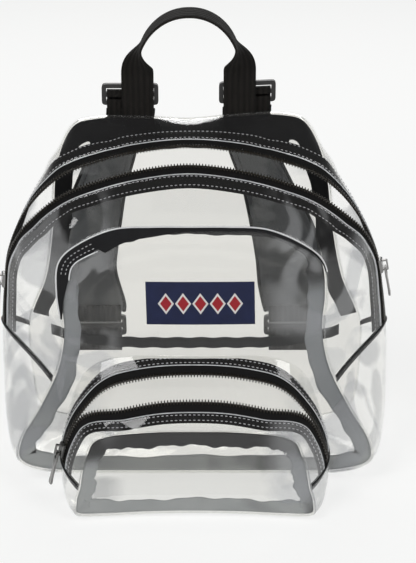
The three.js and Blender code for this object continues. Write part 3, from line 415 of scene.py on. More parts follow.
def scatter(shape, centres, along, normal):
    """Copies of a small shape at many places, each turned so that its x runs along and its z off."""
    along = unit(along)
    across = unit(np.cross(normal, along))
    off = np.cross(along, across)
    turn = np.stack([along, across, off], axis=1)
    points = centres[:, None, :] + shape @ turn
    steps = np.arange(len(centres))[:, None, None] * len(shape)
    return points.reshape(-1, 3), steps


def scattered_faces(faces, steps):
    """The small shape's faces on each of its copies."""
    return [tuple(row) for face in faces for row in (steps[:, 0, :] + np.asarray(face)).tolist()]


def spindle(length, width, height, sides=6):
    """A stitch: rings round x at shares s of half its length, as wide as the root of one less the fourth
    power of s, so that its ends are blunt."""
    shares = np.array([-0.86, -0.4, 0.4, 0.86])
    swell = (1 - shares**4) ** 0.5
    angle = 2 * np.pi * np.arange(sides) / sides
    ring = np.stack([np.zeros(sides), np.cos(angle) * width / 2, np.sin(angle) * height / 2], -1)
    rings = [ring * w + np.array([s * length / 2, 0, 0]) for s, w in zip(shares, swell)]
    tips = np.array([[-length / 2, 0, 0], [length / 2, 0, 0]])
    return np.concatenate([*rings, tips]), tube_faces(len(shares), sides)


def fit_line(line, normal, spacing):
    """Even places along a line with their directions and normals."""
    along = np.gradient(line, axis=0)
    return resample(line, spacing, along, normal)


def stitches(name, runs, material, pitch=3.4, length=1.9, width=0.62, lift=0.1):
    """Thread that shows along each run as one small spindle for every stitch."""
    shape, faces = spindle(length, width, width * 0.8)
    points, made = [], []
    count = 0
    for line, normal in runs:
        centres, along, off = fit_line(line, normal, pitch)
        block, steps = scatter(shape, centres + unit(off) * lift, along, unit(off))
        points.append(block)
        made += scattered_faces(faces, steps + count)
        count += len(block)
    return piece(name, np.concatenate(points), made, material)


class Wire:
    """A socket of a graph, with the arithmetic that the materials use."""

    def __init__(self, graph, socket):
        self.graph = graph
        self.socket = socket

    def math(self, operation, other=None, first=None):
        sockets = {0: self if first is None else first}
        if other is not None:
            sockets[1] = other
        return self.graph.node("ShaderNodeMath", sockets, operation=operation)

    def __add__(self, other):
        return self.math("ADD", other)

    __radd__ = __add__

    def __sub__(self, other):
        return self.math("SUBTRACT", other)

    def __rsub__(self, other):
        return self.math("SUBTRACT", self, first=other)

    def __mul__(self, other):
        return self.math("MULTIPLY", other)

    __rmul__ = __mul__

    def __truediv__(self, other):
        return self.math("DIVIDE", other)

    def power(self, exponent):
        return self.math("POWER", exponent)

    def absolute(self):
        return self.math("ABSOLUTE")

    def below(self, other):
        return self.math("LESS_THAN", other)

    def sine(self):
        return self.math("SINE")

    def round(self):
        return self.math("ROUND")


class Graph:
    """One material's node tree."""

    def __init__(self, name):
        self.material = bpy.data.materials.new(name)
        self.material.use_nodes = True
        self.tree = self.material.node_tree
        self.tree.nodes.clear()

    def node(self, kind, sockets=None, stops=None, output=0, **settings):
        """Adds a node: its settings and a ramp's stops first, then its sockets' values or links."""
        made = self.tree.nodes.new(kind)
        for key, value in settings.items():
            setattr(made, key, value)
        if stops:
            ramp = made.color_ramp
            for index, (position, colour) in enumerate(stops):
                stop = ramp.elements[index] if index < 2 else ramp.elements.new(position)
                stop.position = position
                stop.color = (*colour, 1.0)
        for key, value in (sockets or {}).items():
            if isinstance(value, Wire):
                self.tree.links.new(value.socket, made.inputs[key])
            else:
                made.inputs[key].default_value = value
        return Wire(self, made.outputs[output])

    def place(self):
        return self.node("ShaderNodeTexCoord", output="Object")

    def axes(self, vector):
        parts = self.node("ShaderNodeSeparateXYZ", {0: vector})
        outputs = parts.socket.node.outputs
        return [Wire(self, outputs[index]) for index in range(3)]

    def cloth(self):
        """The piece's own UV, in millimetres along it and across it."""
        return self.axes(self.node("ShaderNodeUVMap", uv_map="UVMap"))[:2]

    def weave(self, pitch):
        """Two crossing sines of the piece's own UV."""
        u, v = self.cloth()
        turn = 2 * math.pi / pitch
        return (u * turn).sine() * (v * turn).sine()

    def noise(self, scale, detail=3.0, distortion=0.0):
        sockets = {"Scale": scale, "Detail": detail, "Distortion": distortion, "Vector": self.place()}
        return self.node("ShaderNodeTexNoise", sockets)

    def ease(self, value, low, high):
        """0 at low, 1 at high and smooth between them, whichever is the larger."""
        sockets = {"Value": value, "From Min": min(low, high), "From Max": max(low, high)}
        if low > high:
            sockets.update({"To Min": 1.0, "To Max": 0.0})
        return self.node("ShaderNodeMapRange", sockets, interpolation_type="SMOOTHSTEP")

    def bump(self, height, strength, distance=0.001):
        return self.node("ShaderNodeBump", {"Height": height, "Strength": strength, "Distance": distance})

    def blend(self, low, high, share):
        """A colour between two, by a share."""
        sockets = {"Factor": share, 6: low, 7: high}
        return self.node("ShaderNodeMix", sockets, output=2, data_type="RGBA")

    def principled(self, **sockets):
        named = {key.replace("_", " "): value for key, value in sockets.items()}
        return self.node("ShaderNodeBsdfPrincipled", named)

    def done(self, shader):
        made = self.tree.nodes.new("ShaderNodeOutputMaterial")
        self.tree.links.new(shader.socket, made.inputs["Surface"])
        return self.material


def rgb(red, green, blue):
    return (red, green, blue, 1.0)


# Heights in metres where the film's mottled patches of painted shade and reflection end, and below which they
# are full
MOTTLE_END = 0.242
MOTTLE_FULL = 0.216


def clear_vinyl(name, head_on, wave, tint, shaded, clear_half):
    """Clear film: a share of it mirrors, rising with the fifth power towards a grazing view, and the rest
    passes, tinted. wave is how far its surface undulates, and shaded the tint of its mottled patches,
    where painted shade lets less light through and a milky layer adds a painted reflection; the patches
    leave out the top and a strip of clear_half metres either side of the middle."""
    g = Graph(name)
    waves = g.noise(11.0, detail=2.0) + g.noise(42.0, detail=2.0) * 0.15
    bump = g.bump(waves, wave, 0.006)
    facing = g.node("ShaderNodeLayerWeight", {"Blend": 0.5, "Normal": bump}, output="Facing")
    share = facing.power(5.0) * (0.9 - head_on) + head_on
    gloss = g.principled(Base_Color=rgb(1, 1, 1), Metallic=1.0, Roughness=0.05, Normal=bump)
    # Mottled patches of painted shade and reflection, kept off the top and the middle strip
    painted_mottle = g.ease(g.noise(15.0, detail=1.0, distortion=1.6), 0.49, 0.59)
    x, _, z = g.axes(g.place())
    painted_mottle = painted_mottle * g.ease(x.absolute(), clear_half, clear_half + 0.02) * g.ease(z, MOTTLE_END, MOTTLE_FULL)
    clean = g.node("ShaderNodeBsdfTransparent", {"Color": rgb(*tint)})
    shade = g.node("ShaderNodeBsdfTransparent", {"Color": rgb(*shaded)})
    passed = g.node("ShaderNodeMixShader", {0: painted_mottle, 1: clean, 2: shade})
    # The milky layer: a faint even haze everywhere, and in the patches a painted reflection that greys what
    # lies behind
    milk_and_sheen = g.principled(Base_Color=rgb(0.9, 0.91, 0.92), Roughness=0.35)
    film = g.node("ShaderNodeMixShader", {0: painted_mottle * 0.11 + 0.006, 1: passed, 2: milk_and_sheen})
    return g.done(g.node("ShaderNodeMixShader", {0: share, 1: film, 2: gloss}))


def cut_edge_highlight():
    """The cut edge of the film: partly its own milky look, and partly a painted highlight, the pale line
    where the edge catches the light.
    """
    g = Graph("cut_edge_highlight")
    passed = g.node("ShaderNodeBsdfTransparent", {"Color": rgb(0.95, 0.96, 0.96)})
    milk_and_sheen = g.principled(Base_Color=rgb(0.86, 0.88, 0.9), Roughness=0.2)
    grain = g.noise(160.0) * 0.6 + 0.35
    return g.done(g.node("ShaderNodeMixShader", {0: grain, 1: passed, 2: milk_and_sheen}))


def binding_cloth(name, low, high):
    """Binding tape of its own black, with the film's reflection painted over it as a grey veil up to a
    height, palest near the floor, and painted dark reflections in patches.
    """
    g = Graph(name)
    _, _, z = g.axes(g.place())
    weave = g.weave(0.9)
    wear = g.noise(38.0, detail=4.0)
    # Below the height the film's reflection is painted in as a grey veil, palest near the floor; above it the
    # tape shows its own black
    level = g.ease(z + wear * 0.02, low, high)
    painted_veil = g.blend(rgb(0.2, 0.215, 0.235), rgb(0.31, 0.325, 0.345), wear)
    pale = g.blend(rgb(0.31, 0.33, 0.345), rgb(0.46, 0.475, 0.485), wear)
    painted_veil = g.blend(painted_veil, pale, g.ease(z, 0.075, 0.02))
    black = g.blend(rgb(0.005, 0.005, 0.006), rgb(0.013, 0.013, 0.015), wear)
    # Painted dark reflections: patches where the film mirrors dark surroundings
    dark = g.ease(g.noise(24.0, detail=1.0), 0.58, 0.74) * 0.7
    colour = g.blend(g.blend(painted_veil, rgb(0.02, 0.021, 0.024), dark), black, level)
    bump = g.bump(weave, 0.15, 0.0003)
    return g.done(g.principled(Base_Color=colour, Roughness=0.7, Specular_IOR_Level=0.25, Normal=bump))


def woven(name, dark, light, pitch, strength, roughness=0.85):
    """Plain weave of a pitch in millimetres."""
    g = Graph(name)
    weave = g.weave(pitch)
    wear = g.noise(60.0)
    colour = g.blend(dark, light, (weave * 0.25 + 0.35) * wear * 1.4)
    bump = g.bump(weave, strength, 0.0004)
    return g.done(g.principled(Base_Color=colour, Roughness=roughness, Specular_IOR_Level=0.2, Normal=bump))


def spacer_mesh():
    """Padded strap cloth: small round holes in rows, soft blotches of painted reflection from the film in
    front of it, and painted shade that darkens it towards its top.
    """
    g = Graph("strap_cloth")
    holes = g.weave(2.6).absolute()
    # Painted reflection: soft blotches of the film in front of the strap
    painted_reflection_blotch = g.ease(g.noise(17.0, detail=1.5, distortion=1.4), 0.44, 0.57)
    _, _, z = g.axes(g.place())
    # Painted shade: the strap darkens towards its top
    level = g.ease(z, 0.235, 0.262)
    pale = g.blend(rgb(0.05, 0.055, 0.063), rgb(0.115, 0.122, 0.132), painted_reflection_blotch)
    colour = g.blend(pale, rgb(0.02, 0.02, 0.022), level)
    bump = g.bump(holes * -0.8 + g.noise(70.0) * 0.6, 0.2, 0.0004)
    colour = g.blend(colour, rgb(0.03, 0.032, 0.036), holes * 0.35)
    return g.done(g.principled(Base_Color=colour, Roughness=0.8, Normal=bump))


def ribbed(name, dark, light, rib, pitch, strength):
    """Webbing: ribs along it and picks across it."""
    g = Graph(name)
    u, v = g.cloth()
    ribs = (v * (2 * math.pi / rib)).sine()
    picks = (u * (2 * math.pi / pitch)).sine() * (v * (math.pi / pitch)).sine()
    height = ribs * 0.6 + picks * 0.4
    colour = g.blend(dark, light, height * 0.3 + 0.4)
    bump = g.bump(height, strength, 0.0006)
    return g.done(g.principled(Base_Color=colour, Roughness=0.75, Specular_IOR_Level=0.2, Normal=bump))


def plain(name, colour, roughness, metallic=0.0, scale=300.0, strength=0.05, coat=0.0):
    """Moulded plastic, plate or thread: one colour with a fine grain in its colour, gloss and bump."""
    g = Graph(name)
    grain = g.noise(scale)
    darker = rgb(*(0.75 * part for part in colour[:3]))
    tint = g.blend(darker, colour, grain)
    bump = g.bump(grain, strength, 0.0003)
    return g.done(g.principled(
        Base_Color=tint, Roughness=grain * 0.12 + (roughness - 0.06), Metallic=metallic, Normal=bump,
        Coat_Weight=coat,
    ))


def label_weave():
    """Navy weave with a row of red lozenges edged in white, by the label's own millimetres."""
    g = Graph("woven_label")
    u, v = g.cloth()
    pitch = 13.0
    cell = (u / pitch).round() * pitch
    reach = (u - cell).absolute() / 6.1 + v.absolute() / 8.6
    inside = u.absolute().below(2.5 * pitch)
    red = reach.below(0.72) * inside
    white = reach.below(1.0) * inside - red
    weave = g.weave(0.7)
    wear = g.noise(120.0)
    navy = g.blend(rgb(0.004, 0.008, 0.04), rgb(0.008, 0.016, 0.072), wear)
    colour = g.blend(g.blend(navy, rgb(0.75, 0.72, 0.7), white), rgb(0.36, 0.012, 0.02), red)
    bump = g.bump(weave + (red + white) * 1.2, 0.5, 0.0003)
    return g.done(g.principled(Base_Color=colour, Roughness=0.8, Normal=bump))


# The fifth argument is the tint of the painted shade in the film's mottled patches
VINYL_LOOK = clear_vinyl("clear_vinyl", 0.03, 0.4, (0.978, 0.978, 0.973), (0.85, 0.852, 0.855), 0.05)
PANEL_LOOK = clear_vinyl("clear_vinyl_flat", 0.02, 0.2, (0.968, 0.966, 0.957), (0.87, 0.872, 0.875), 0.05)
BACK_LOOK = clear_vinyl("clear_vinyl_back", 0.02, 0.15, (0.917, 0.913, 0.9), (0.88, 0.88, 0.875), 0.07)
EDGE_HIGHLIGHT_LOOK = cut_edge_highlight()
TAPE_LOOK = woven("binding_tape", rgb(0.003, 0.003, 0.0035), rgb(0.01, 0.01, 0.011), 0.9, 0.2)
# Heights in metres below which the film's reflection is painted over the tape
FRONT_TAPE_LOOK = binding_cloth("front_binding_tape", 0.165, 0.19)
POCKET_TAPE_LOOK = binding_cloth("pocket_binding_tape", 0.052, 0.066)
ZIP_LOOK = woven("zip_tape", rgb(0.004, 0.004, 0.004), rgb(0.012, 0.011, 0.011), 1.1, 0.2, 0.8)
STRAP_LOOK = spacer_mesh()
WEB_LOOK = ribbed("webbing", rgb(0.002, 0.0018, 0.0015), rgb(0.017, 0.0145, 0.012), 4.4, 1.3, 0.9)
TEETH_LOOK = plain("nylon_teeth", rgb(0.022, 0.018, 0.012), 0.25)
THREAD_LOOK = plain("pale_thread", rgb(0.62, 0.62, 0.64), 0.5)
DARK_THREAD_LOOK = plain("dark_thread", rgb(0.01, 0.01, 0.011), 0.5)
PLASTIC_LOOK = plain("black_plastic", rgb(0.012, 0.011, 0.011), 0.3)
METAL_LOOK = plain("zip_metal", rgb(0.27, 0.265, 0.26), 0.2, metallic=1.0)
LABEL_LOOK = label_weave()
FOLD_LOOK = woven("fold_tape", rgb(0.008, 0.008, 0.009), rgb(0.024, 0.024, 0.026), 0.9, 0.25)
GLINT_LOOK = plain("film_edge_glint", rgb(0.8, 0.81, 0.82), 0.15, coat=0.6)

# Soft folds in the vinyl: start row and share, end row and share, width in rows, height
bag.folds = (
    (9.4, 0.02, 10.6, 0.34, 0.16, 1.6),
    (9.9, 0.02, 9.0, 0.40, 0.14, -1.3),
    (16.6, 0.02, 15.4, 0.34, 0.16, 1.6),
    (16.1, 0.02, 17.1, 0.38, 0.14, -1.3),
    (7.2, 0.05, 9.2, 0.45, 0.18, 1.5),
    (18.8, 0.05, 16.8, 0.45, 0.18, 1.5),
    (10.6, 0.98, 11.6, 0.62, 0.16, -1.6),
    (15.4, 0.98, 14.4, 0.62, 0.16, -1.6),
    (9.2, 0.95, 10.2, 0.62, 0.2, 1.6),
    (16.8, 0.95, 15.8, 0.62, 0.2, 1.6),
)


def sheet(name, gusset, rows, distances, lift, thickness, material, nodes=()):
    """A strip of skin with a thickness: one grid at the lift and one under it."""
    outer = gusset.at(rows, distances, lift)
    inner = gusset.at(rows, distances, lift - thickness)
    along = run_lengths(outer[:, outer.shape[1] // 2])
    return slab(name, outer, inner, along[:, None], distances, material, nodes)


def film_strip(name, gusset, rows, distances):
    """A strip of clear film that stands for the node of its name."""
    sheet(name + "_sheet", gusset, rows, distances, 0.0, VINYL, VINYL_LOOK, [name])


def zip_half(film, tape, z, side, count):
    """One half of a zip: its strip of film with a hem, and its tape with teeth. It returns the lines of the
    two rows of stitches."""
    gusset = z.gusset
    across = np.linspace(0, 1, 15)[None, :]
    nominal = side * mix(z.mouth / 2 + TAPE_SHOWS, z.front_edge if side < 0 else z.back_edge, across)
    rows = z.upper_rows(count, nominal)
    film_strip(film, gusset, rows, side * mix(z.half_gap(rows) + TAPE_SHOWS, gusset.edge(side, rows), across))
    # The tape runs under the film's edge, and ends past the second row of stitches
    across = np.linspace(0, 1, 7)[None, :]
    rows = np.broadcast_to(z.upper_rows(count, np.zeros(1)), (count, 7))
    gap = z.half_gap(rows)
    end = np.minimum(gap + TAPE_SHOWS + z.hidden, gusset.edge(side, rows) - 2)
    distances = side * mix(gap + TAPE_INSET, end, across)
    sheet(tape + "_cloth", gusset, rows, distances, -TAPE_UNDER, TAPE, ZIP_LOOK, [tape])
    rows = z.upper_rows(900, np.zeros(1))[:, 0]
    edge = z.half_gap(rows)
    normal = gusset.normal(rows, gusset.share_at(rows, side * edge))
    teeth(tape + "_teeth", gusset.at(rows, side * (edge + TEETH_WIDTH / 2), -TAPE_UNDER), normal)
    # The hem bead's pale line is partly the cut edge's milky look and partly a painted highlight
    hem = gusset.at(rows, side * (edge + TAPE_SHOWS), -0.25)
    cord(film + "_hem", hem, normal, HEM_RADIUS, 8, EDGE_HIGHLIGHT_LOOK, "clear_vinyl")
    insets = edge + TAPE_SHOWS + np.array([[STITCH_INSET], [z.hidden - STITCH_INSET]])
    room = gusset.edge(side, rows) - 1.2
    return [(gusset.at(rows, side * np.minimum(inset, room)), normal) for inset in insets]


def side_seam(name, z, side):
    """A side seam's tape under the film, and the welt over it. It returns the welt's line."""
    gusset = z.gusset
    distance = np.linspace(-z.front_edge + 1.5, z.back_edge - 1.5, 40)[None, :]
    below = np.linspace(0.0, SEAM_TAPE, 4)[:, None]
    row_length = np.linalg.norm(gusset.skin(z.seam_low + 0.5, 0.5) - gusset.skin(z.seam_low - 0.5, 0.5))
    rows = side * (z.seam_row(distance) - below / row_length)
    distances = np.broadcast_to(distance, rows.shape)
    sheet(name + "_cloth", gusset, rows, distances, -TAPE_UNDER, TAPE, TAPE_LOOK, [name])
    rows = side * (z.seam_row(distance[0]) - 0.8 / row_length)
    line = gusset.at(rows, distance[0], 0.1)
    normal = gusset.normal(rows, gusset.share_at(rows, distance[0]))
    cord(name + "_welt", line, normal, WELT_RADIUS, 8, DARK_THREAD_LOOK, "binding_tape", every=1)
    return line, normal


def zipped_gusset(prefix, z, count, lower_count):
    """The gusset's two upper strips with the halves of the zip, its lower strip and its side seams."""
    pale = zip_half(prefix + "front_gusset", prefix + "zip_tape_front", z, -1, count)
    pale += zip_half(prefix + "rear_gusset", prefix + "zip_tape_rear", z, 1, count)
    stitches(prefix + "zip_stitches", pale, THREAD_LOOK)
    share = np.linspace(0, 1, 33)[None, :]
    end = z.seam_row(mix(-z.front_edge, z.back_edge, share))
    rows = mix(-end, end, np.linspace(0, 1, lower_count)[:, None])
    distances = mix(-z.gusset.edge(-1, rows), z.gusset.edge(1, rows), share)
    film_strip(prefix + "lower_gusset", z.gusset, rows, distances)
    dark = [side_seam(f"{prefix}side_seam_{name}", z, side) for name, side in SIDES]
    stitches(prefix + "side_stitches", dark, DARK_THREAD_LOOK, 2.6, 2.3, 0.8)


def teeth(name, line, normal):
    """A coil's teeth: one rounded bar across the tape's edge for each turn of the coil, on a core cord."""
    shape, faces = spindle(4.8, 1.2, 2.0)
    shape = shape[:, [1, 0, 2]] * np.array([1.0, -1.0, 1.0])
    centres, along, off = fit_line(line, normal, TEETH_PITCH)
    block, steps = scatter(shape, centres + unit(off) * 0.35, along, unit(off))
    piece(name, block, scattered_faces(faces, steps), TEETH_LOOK)
    cord(name + "_cord", line + unit(normal) * 0.6, normal, 0.45, 8, TEETH_LOOK, "zip_tape")


def cord(name, line, normal, radius, sides, material, slot, wrap=False, every=3):
    """A round bead that follows a line: a circle of the radius in the plane of the line's normal and side."""
    centre, off = line[::every], unit(normal[::every])
    if wrap:
        along = unit(np.roll(centre, -1, axis=0) - np.roll(centre, 1, axis=0))
    else:
        along = unit(np.gradient(centre, axis=0))
    across = unit(np.cross(off, along))
    angle = (2 * np.pi * np.arange(sides) / sides)[None, :, None]
    ring = radius * (np.cos(angle) * across[:, None, :] + np.sin(angle) * off[:, None, :])
    points = (centre[:, None, :] + ring).reshape(-1, 3)
    if not wrap:
        points = np.concatenate([points, centre[:1], centre[-1:]])
    return piece(name, points, tube_faces(len(centre), sides, wrap), material)


def stand(surface, x, z, out=0.0):
    """Points of a panel's surface at x and z, moved by a depth, and leaned."""
    return lean(np.stack([x, surface(x, z) + out, z], -1))


def rim_points(gusset, seam_share, rows, inset):
    """Places in a seam's plane, moved inwards by an inset."""
    step = 0.05
    seam = gusset.skin(rows, seam_share)
    along = gusset.skin(rows + step, seam_share) - gusset.skin(rows - step, seam_share)
    inward = unit(np.stack([-along[:, 2], along[:, 0]], -1))
    return seam[:, [0, 2]] + inward * np.asarray(inset).reshape(-1, 1)


def ring_rows(gusset, count):
    return np.linspace(0, 2 * gusset.top, count, endpoint=False)


def panel(name, gusset, seam_share, surface, inward, centre_z, node, material, folds=()):
    """A panel from its rim to its centre: rings of the rim shrunk towards the centre, on the surface."""
    count, rings = 360, 22
    rim = rim_points(gusset, seam_share, ring_rows(gusset, count), 0.3)
    sizes = np.linspace(1, 0.03, rings)
    x = rim[:, None, 0] * sizes
    z = mix(centre_z, rim[:, None, 1], sizes)
    lift = ridges(x, z, folds, 0.5) * np.clip((1 - sizes) * 12, 0, 1)
    depths = (0.0, VINYL)
    grids = [stand(surface, x, z, inward * (depth - lift)).reshape(-1, 3) for depth in depths]
    centres = [stand(surface, 0.0, centre_z, inward * depth)[None, :] for depth in depths]
    total = count * rings
    inner_ring = np.arange(count) * rings + rings - 1
    follow = np.roll(inner_ring, -1)
    faces = [tuple(face) for face in sheet_faces(count, rings, wrap=True)]
    faces = drop_inner_wall(faces, inner_ring, total)
    faces += [(a, b, 2 * total) for a, b in zip(inner_ring, follow)]
    faces += [(b + total, a + total, 2 * total + 1) for a, b in zip(inner_ring, follow)]
    return piece(name, np.concatenate([*grids, *centres]), faces, material, [node])


def drop_inner_wall(faces, inner_ring, total):
    """Takes out the wall that joins the two grids at their innermost ring."""
    ring = set(inner_ring.tolist())
    ring |= {index + total for index in ring}
    return [face for face in faces if not all(int(index) in ring for index in face)]


def binding(name, gusset, seam_share, surface, inward, rows, width, material, wrap):
    """Tape behind a panel along its seam. Its inner edge wavers by the sum of three sines of the row."""
    turn = rows * np.pi / gusset.top
    waver = 0.9 * np.sin(turn * 9 + 1.0) + 0.7 * np.sin(turn * 23 + 2.0) + 0.4 * np.sin(turn * 47)
    width = width + waver * np.minimum(width / 8, 1)
    shares = np.linspace(0, 1, 7)
    edges = [rim_points(gusset, seam_share, rows, 1.6 + share * width).T for share in shares]
    outer, inner = (
        np.stack([stand(surface, *edge, inward * depth) for edge in edges], axis=1)
        for depth in (TAPE_UNDER, TAPE_UNDER + TAPE)
    )
    along = run_lengths(outer[:, 2])[:, None]
    return slab(
        name + "_cloth", outer, inner, along, shares * BINDING_WIDTH, material, [name], wrap
    )


def seam_welt(name, gusset, seam_share, radius=0.8):
    """The ridge where two sheets meet: a thin clear bead along the whole seam."""
    rows = ring_rows(gusset, 720)
    line = lean(gusset.skin(rows, seam_share))
    normal = gusset.normal(rows, np.full(rows.shape, float(seam_share)))
    cord(name, line, normal, radius, 8, VINYL_LOOK, "clear_vinyl", wrap=True, every=1)


def band(name, lines, normal, thickness, node, width):
    """A flat strip of webbing between two edge lines, with half its thickness off both faces."""
    left, right = lines
    shares = np.linspace(0, 1, 9)
    middle = mix(left[:, None, :], right[:, None, :], shares[None, :, None])
    off = unit(normal)[:, None, :] * thickness / 2
    along = run_lengths(middle[:, 4])[:, None]
    return slab(name, middle + off, middle - off, along, (shares - 0.5) * width, WEB_LOOK, [node])


# The haul loop
LOOP_WIDTH = 25.0
LOOP_THICKNESS = 1.6
LOOP_SPAN = 79.0
LOOP_RISE = 44.0
LOOP_LEG = 39.0
LOOP_SEWN = 14.0
LOOP_NECK = 7.0
LOOP_TURNED = 0.42  # the share of the rise where the quarter turn is complete
LEG_STEPS = 24
ARCH_STEPS = 90


def haul_loop():
    """Two legs that face front, a quarter turn at each neck, and half an ellipse that faces up."""
    arch_z = BAG_HEIGHT + LOOP_LEG
    leg_y = HALF_DEPTH + CLEARANCE + LOOP_THICKNESS / 2
    half = LOOP_SPAN / 2
    leg = np.linspace(BAG_HEIGHT - LOOP_SEWN, arch_z, LEG_STEPS, endpoint=False)
    angle = np.linspace(0, np.pi, ARCH_STEPS)
    x = np.concatenate([np.full(LEG_STEPS, -half), -half * np.cos(angle), np.full(LEG_STEPS, half)])
    z = np.concatenate([leg, arch_z + LOOP_RISE * np.sin(angle), leg[::-1]])
    way = np.concatenate([leg - arch_z, LOOP_RISE * np.minimum(angle, np.pi - angle), leg[::-1] - arch_z])
    twist = np.radians(90 * smooth(-LOOP_NECK, LOOP_TURNED * LOOP_RISE, way))[:, None]
    line = np.stack([x, np.full(x.shape, leg_y), z], -1)
    along = unit(np.gradient(line, axis=0))
    outward = unit(np.cross(along, np.array([0.0, 1.0, 0.0])))
    outward *= np.sign(outward[len(x) // 2, 2])
    back = np.array([[0.0, 1.0, 0.0]])
    across = outward * np.cos(twist) + back * np.sin(twist)
    face = -outward * np.sin(twist) + back * np.cos(twist)
    edges = [lean(line + sign * across * LOOP_WIDTH / 2) for sign in (-1, 1)]
    band("haul_loop_webbing", edges, face, LOOP_THICKNESS, "haul_loop", LOOP_WIDTH)


# The webbing and straps behind the back, from the back panel outwards
WEB_WIDTH = 36.0
WEB_THICKNESS = 1.4
BUCKLE_HEIGHT = 17.0
BUCKLE_THICKNESS = 3.4
BUCKLE_BAR = 3.4
BUCKLE_SLOT = (BUCKLE_HEIGHT - 3 * BUCKLE_BAR) / 2
ANCHOR_SPAN = 91.0
ADJUSTER_SPAN = 156.0
ADJUSTER_LEVEL = 87.0
STRAP_WIDTH = 52.0
STRAP_THICKNESS = 4.0
STRAP_STAND_OFF = 34.0
STRAP_DRIFT = 13.0  # how far further out the left strap hangs, in full between the next two shares
DRIFT_LOW = 0.5
DRIFT_HIGH = 0.87
STRAP_CHANNEL = 5.2
STRAP_CHANNEL_LIFT = 1.25
STRAP_EDGE_REACH = 1.6
STRAP_EDGE_LIFT = 1.75
ANCHOR_TAIL = 6.0
FOOT_TAIL = 4.0
STRAP_SEWN = 13.0
WEB_REACH = CLEARANCE + WEB_THICKNESS / 2
ANCHOR_Y = HALF_DEPTH + 2 * CLEARANCE + LOOP_THICKNESS + WEB_THICKNESS / 2
BUCKLE_Y = ANCHOR_Y + WEB_REACH + BUCKLE_THICKNESS / 2
BUCKLE_FOOT = BAG_HEIGHT + 8.0
FOOT_WEB_Y = float(back_y(np.float64((ADJUSTER_SPAN - WEB_WIDTH) / 2), ADJUSTER_LEVEL)) + WEB_REACH
ADJUSTER_Y = FOOT_WEB_Y + WEB_REACH + BUCKLE_THICKNESS / 2
ADJUSTER_FOOT = ADJUSTER_LEVEL - BUCKLE_HEIGHT / 2
ANCHOR_TAIL_Y = BUCKLE_Y + BUCKLE_THICKNESS / 2 + WEB_REACH
STRAP_TOP_Y = ANCHOR_TAIL_Y + WEB_REACH + STRAP_THICKNESS / 2
# height, inward, width and off: shares of the bag's height, of the way to the anchor, of the strap's full
# width and of its full stand-off
STRAP_ROWS = np.array([
    (1.010, 1.00, 0.69, 0.00), (0.950, 1.00, 0.69, 0.02), (0.860, 0.88, 0.71, 0.40),
    (0.720, 0.50, 0.80, 0.90), (0.590, 0.16, 0.98, 1.00), (0.510, 0.03, 1.00, 0.66),
    (0.450, 0.00, 0.98, 0.19), (0.410, 0.00, 0.90, 0.02), (0.370, 0.00, 0.80, 0.00),
])


def strap_place(place, side):
    """The strap's middle and width at a place of its table; the left one hangs further out."""
    height, inward, width, off = (catmull_rom(values, place) for values in STRAP_ROWS.T)
    top, foot = STRAP_ROWS[0, 0], STRAP_ROWS[-1, 0]
    x = mix(ADJUSTER_SPAN, ANCHOR_SPAN, inward) / 2
    if side < 0:
        x = x + STRAP_DRIFT * smooth(foot, DRIFT_LOW, height) * (1 - smooth(DRIFT_HIGH, top, height))
    y = mix(ADJUSTER_Y, STRAP_TOP_Y, smooth(foot, top, height)) + STRAP_STAND_OFF * off
    return x, y, height * BAG_HEIGHT, STRAP_WIDTH * width


def shoulder_strap(name, side):
    """A padded strap: rings along its line. Round a ring the width follows the 0.75th power of the cosine
    and the thickness the 0.42nd power of the sine, less a bell for the sewn channel near each edge."""
    count, sides = 190, 64
    last = len(STRAP_ROWS) - 1
    place_along = np.linspace(0, last, count)
    x, y, z, width = strap_place(place_along, side)
    middle = np.stack([side * x, y, z], -1)
    tangent = unit(np.gradient(middle, axis=0) * np.array([0.0, 1.0, 1.0]))
    face = np.stack([np.zeros(count), -tangent[:, 2], tangent[:, 1]], -1)
    angle = 2 * np.pi * np.arange(sides) / sides
    across = np.sign(np.cos(angle)) * np.abs(np.cos(angle)) ** 0.75
    lift = np.sign(np.sin(angle)) * np.abs(np.sin(angle)) ** 0.42
    half = width[:, None] / 2
    from_edge = half * (1 - np.abs(across))
    channel = 1 - 0.38 * np.exp(-((from_edge - STRAP_CHANNEL) / 1.3) ** 2)
    ends = smooth(-0.02, 0.3, np.minimum(place_along, last - place_along))[:, None] * 0.5 + 0.5
    pucker = 1 + 0.06 * np.sin(place_along[:, None] * 26) * np.exp(-((from_edge - 6) / 3) ** 2)
    swell = STRAP_THICKNESS / 2 * lift * channel * ends * pucker
    grid = middle[:, None, :] + face[:, None, :] * swell[..., None]
    grid[..., 0] += half * across
    strap = tube(
        f"shoulder_strap_{name}_padding", grid, middle[[0, -1]], run_lengths(middle)[:, None], half * across,
        STRAP_LOOK, [f"shoulder_strap_{name}"],
    )
    runs = []
    for sign in (-1, 1):
        edge = middle.copy()
        edge[:, 0] += sign * (width / 2 - 0.4)
        where = "in" if sign * side < 0 else "out"
        flat_tube(f"shoulder_strap_{name}_binding_{where}", edge, face)
        for top in (-1, 1):
            line = middle + face * top * STRAP_CHANNEL_LIFT
            line[:, 0] += sign * (width / 2 - STRAP_CHANNEL)
            runs.append((lean(line[4:-4]), face[4:-4] * top))
    stitches(f"shoulder_strap_{name}_stitches", runs, DARK_THREAD_LOOK, pitch=4.2, length=2.8)


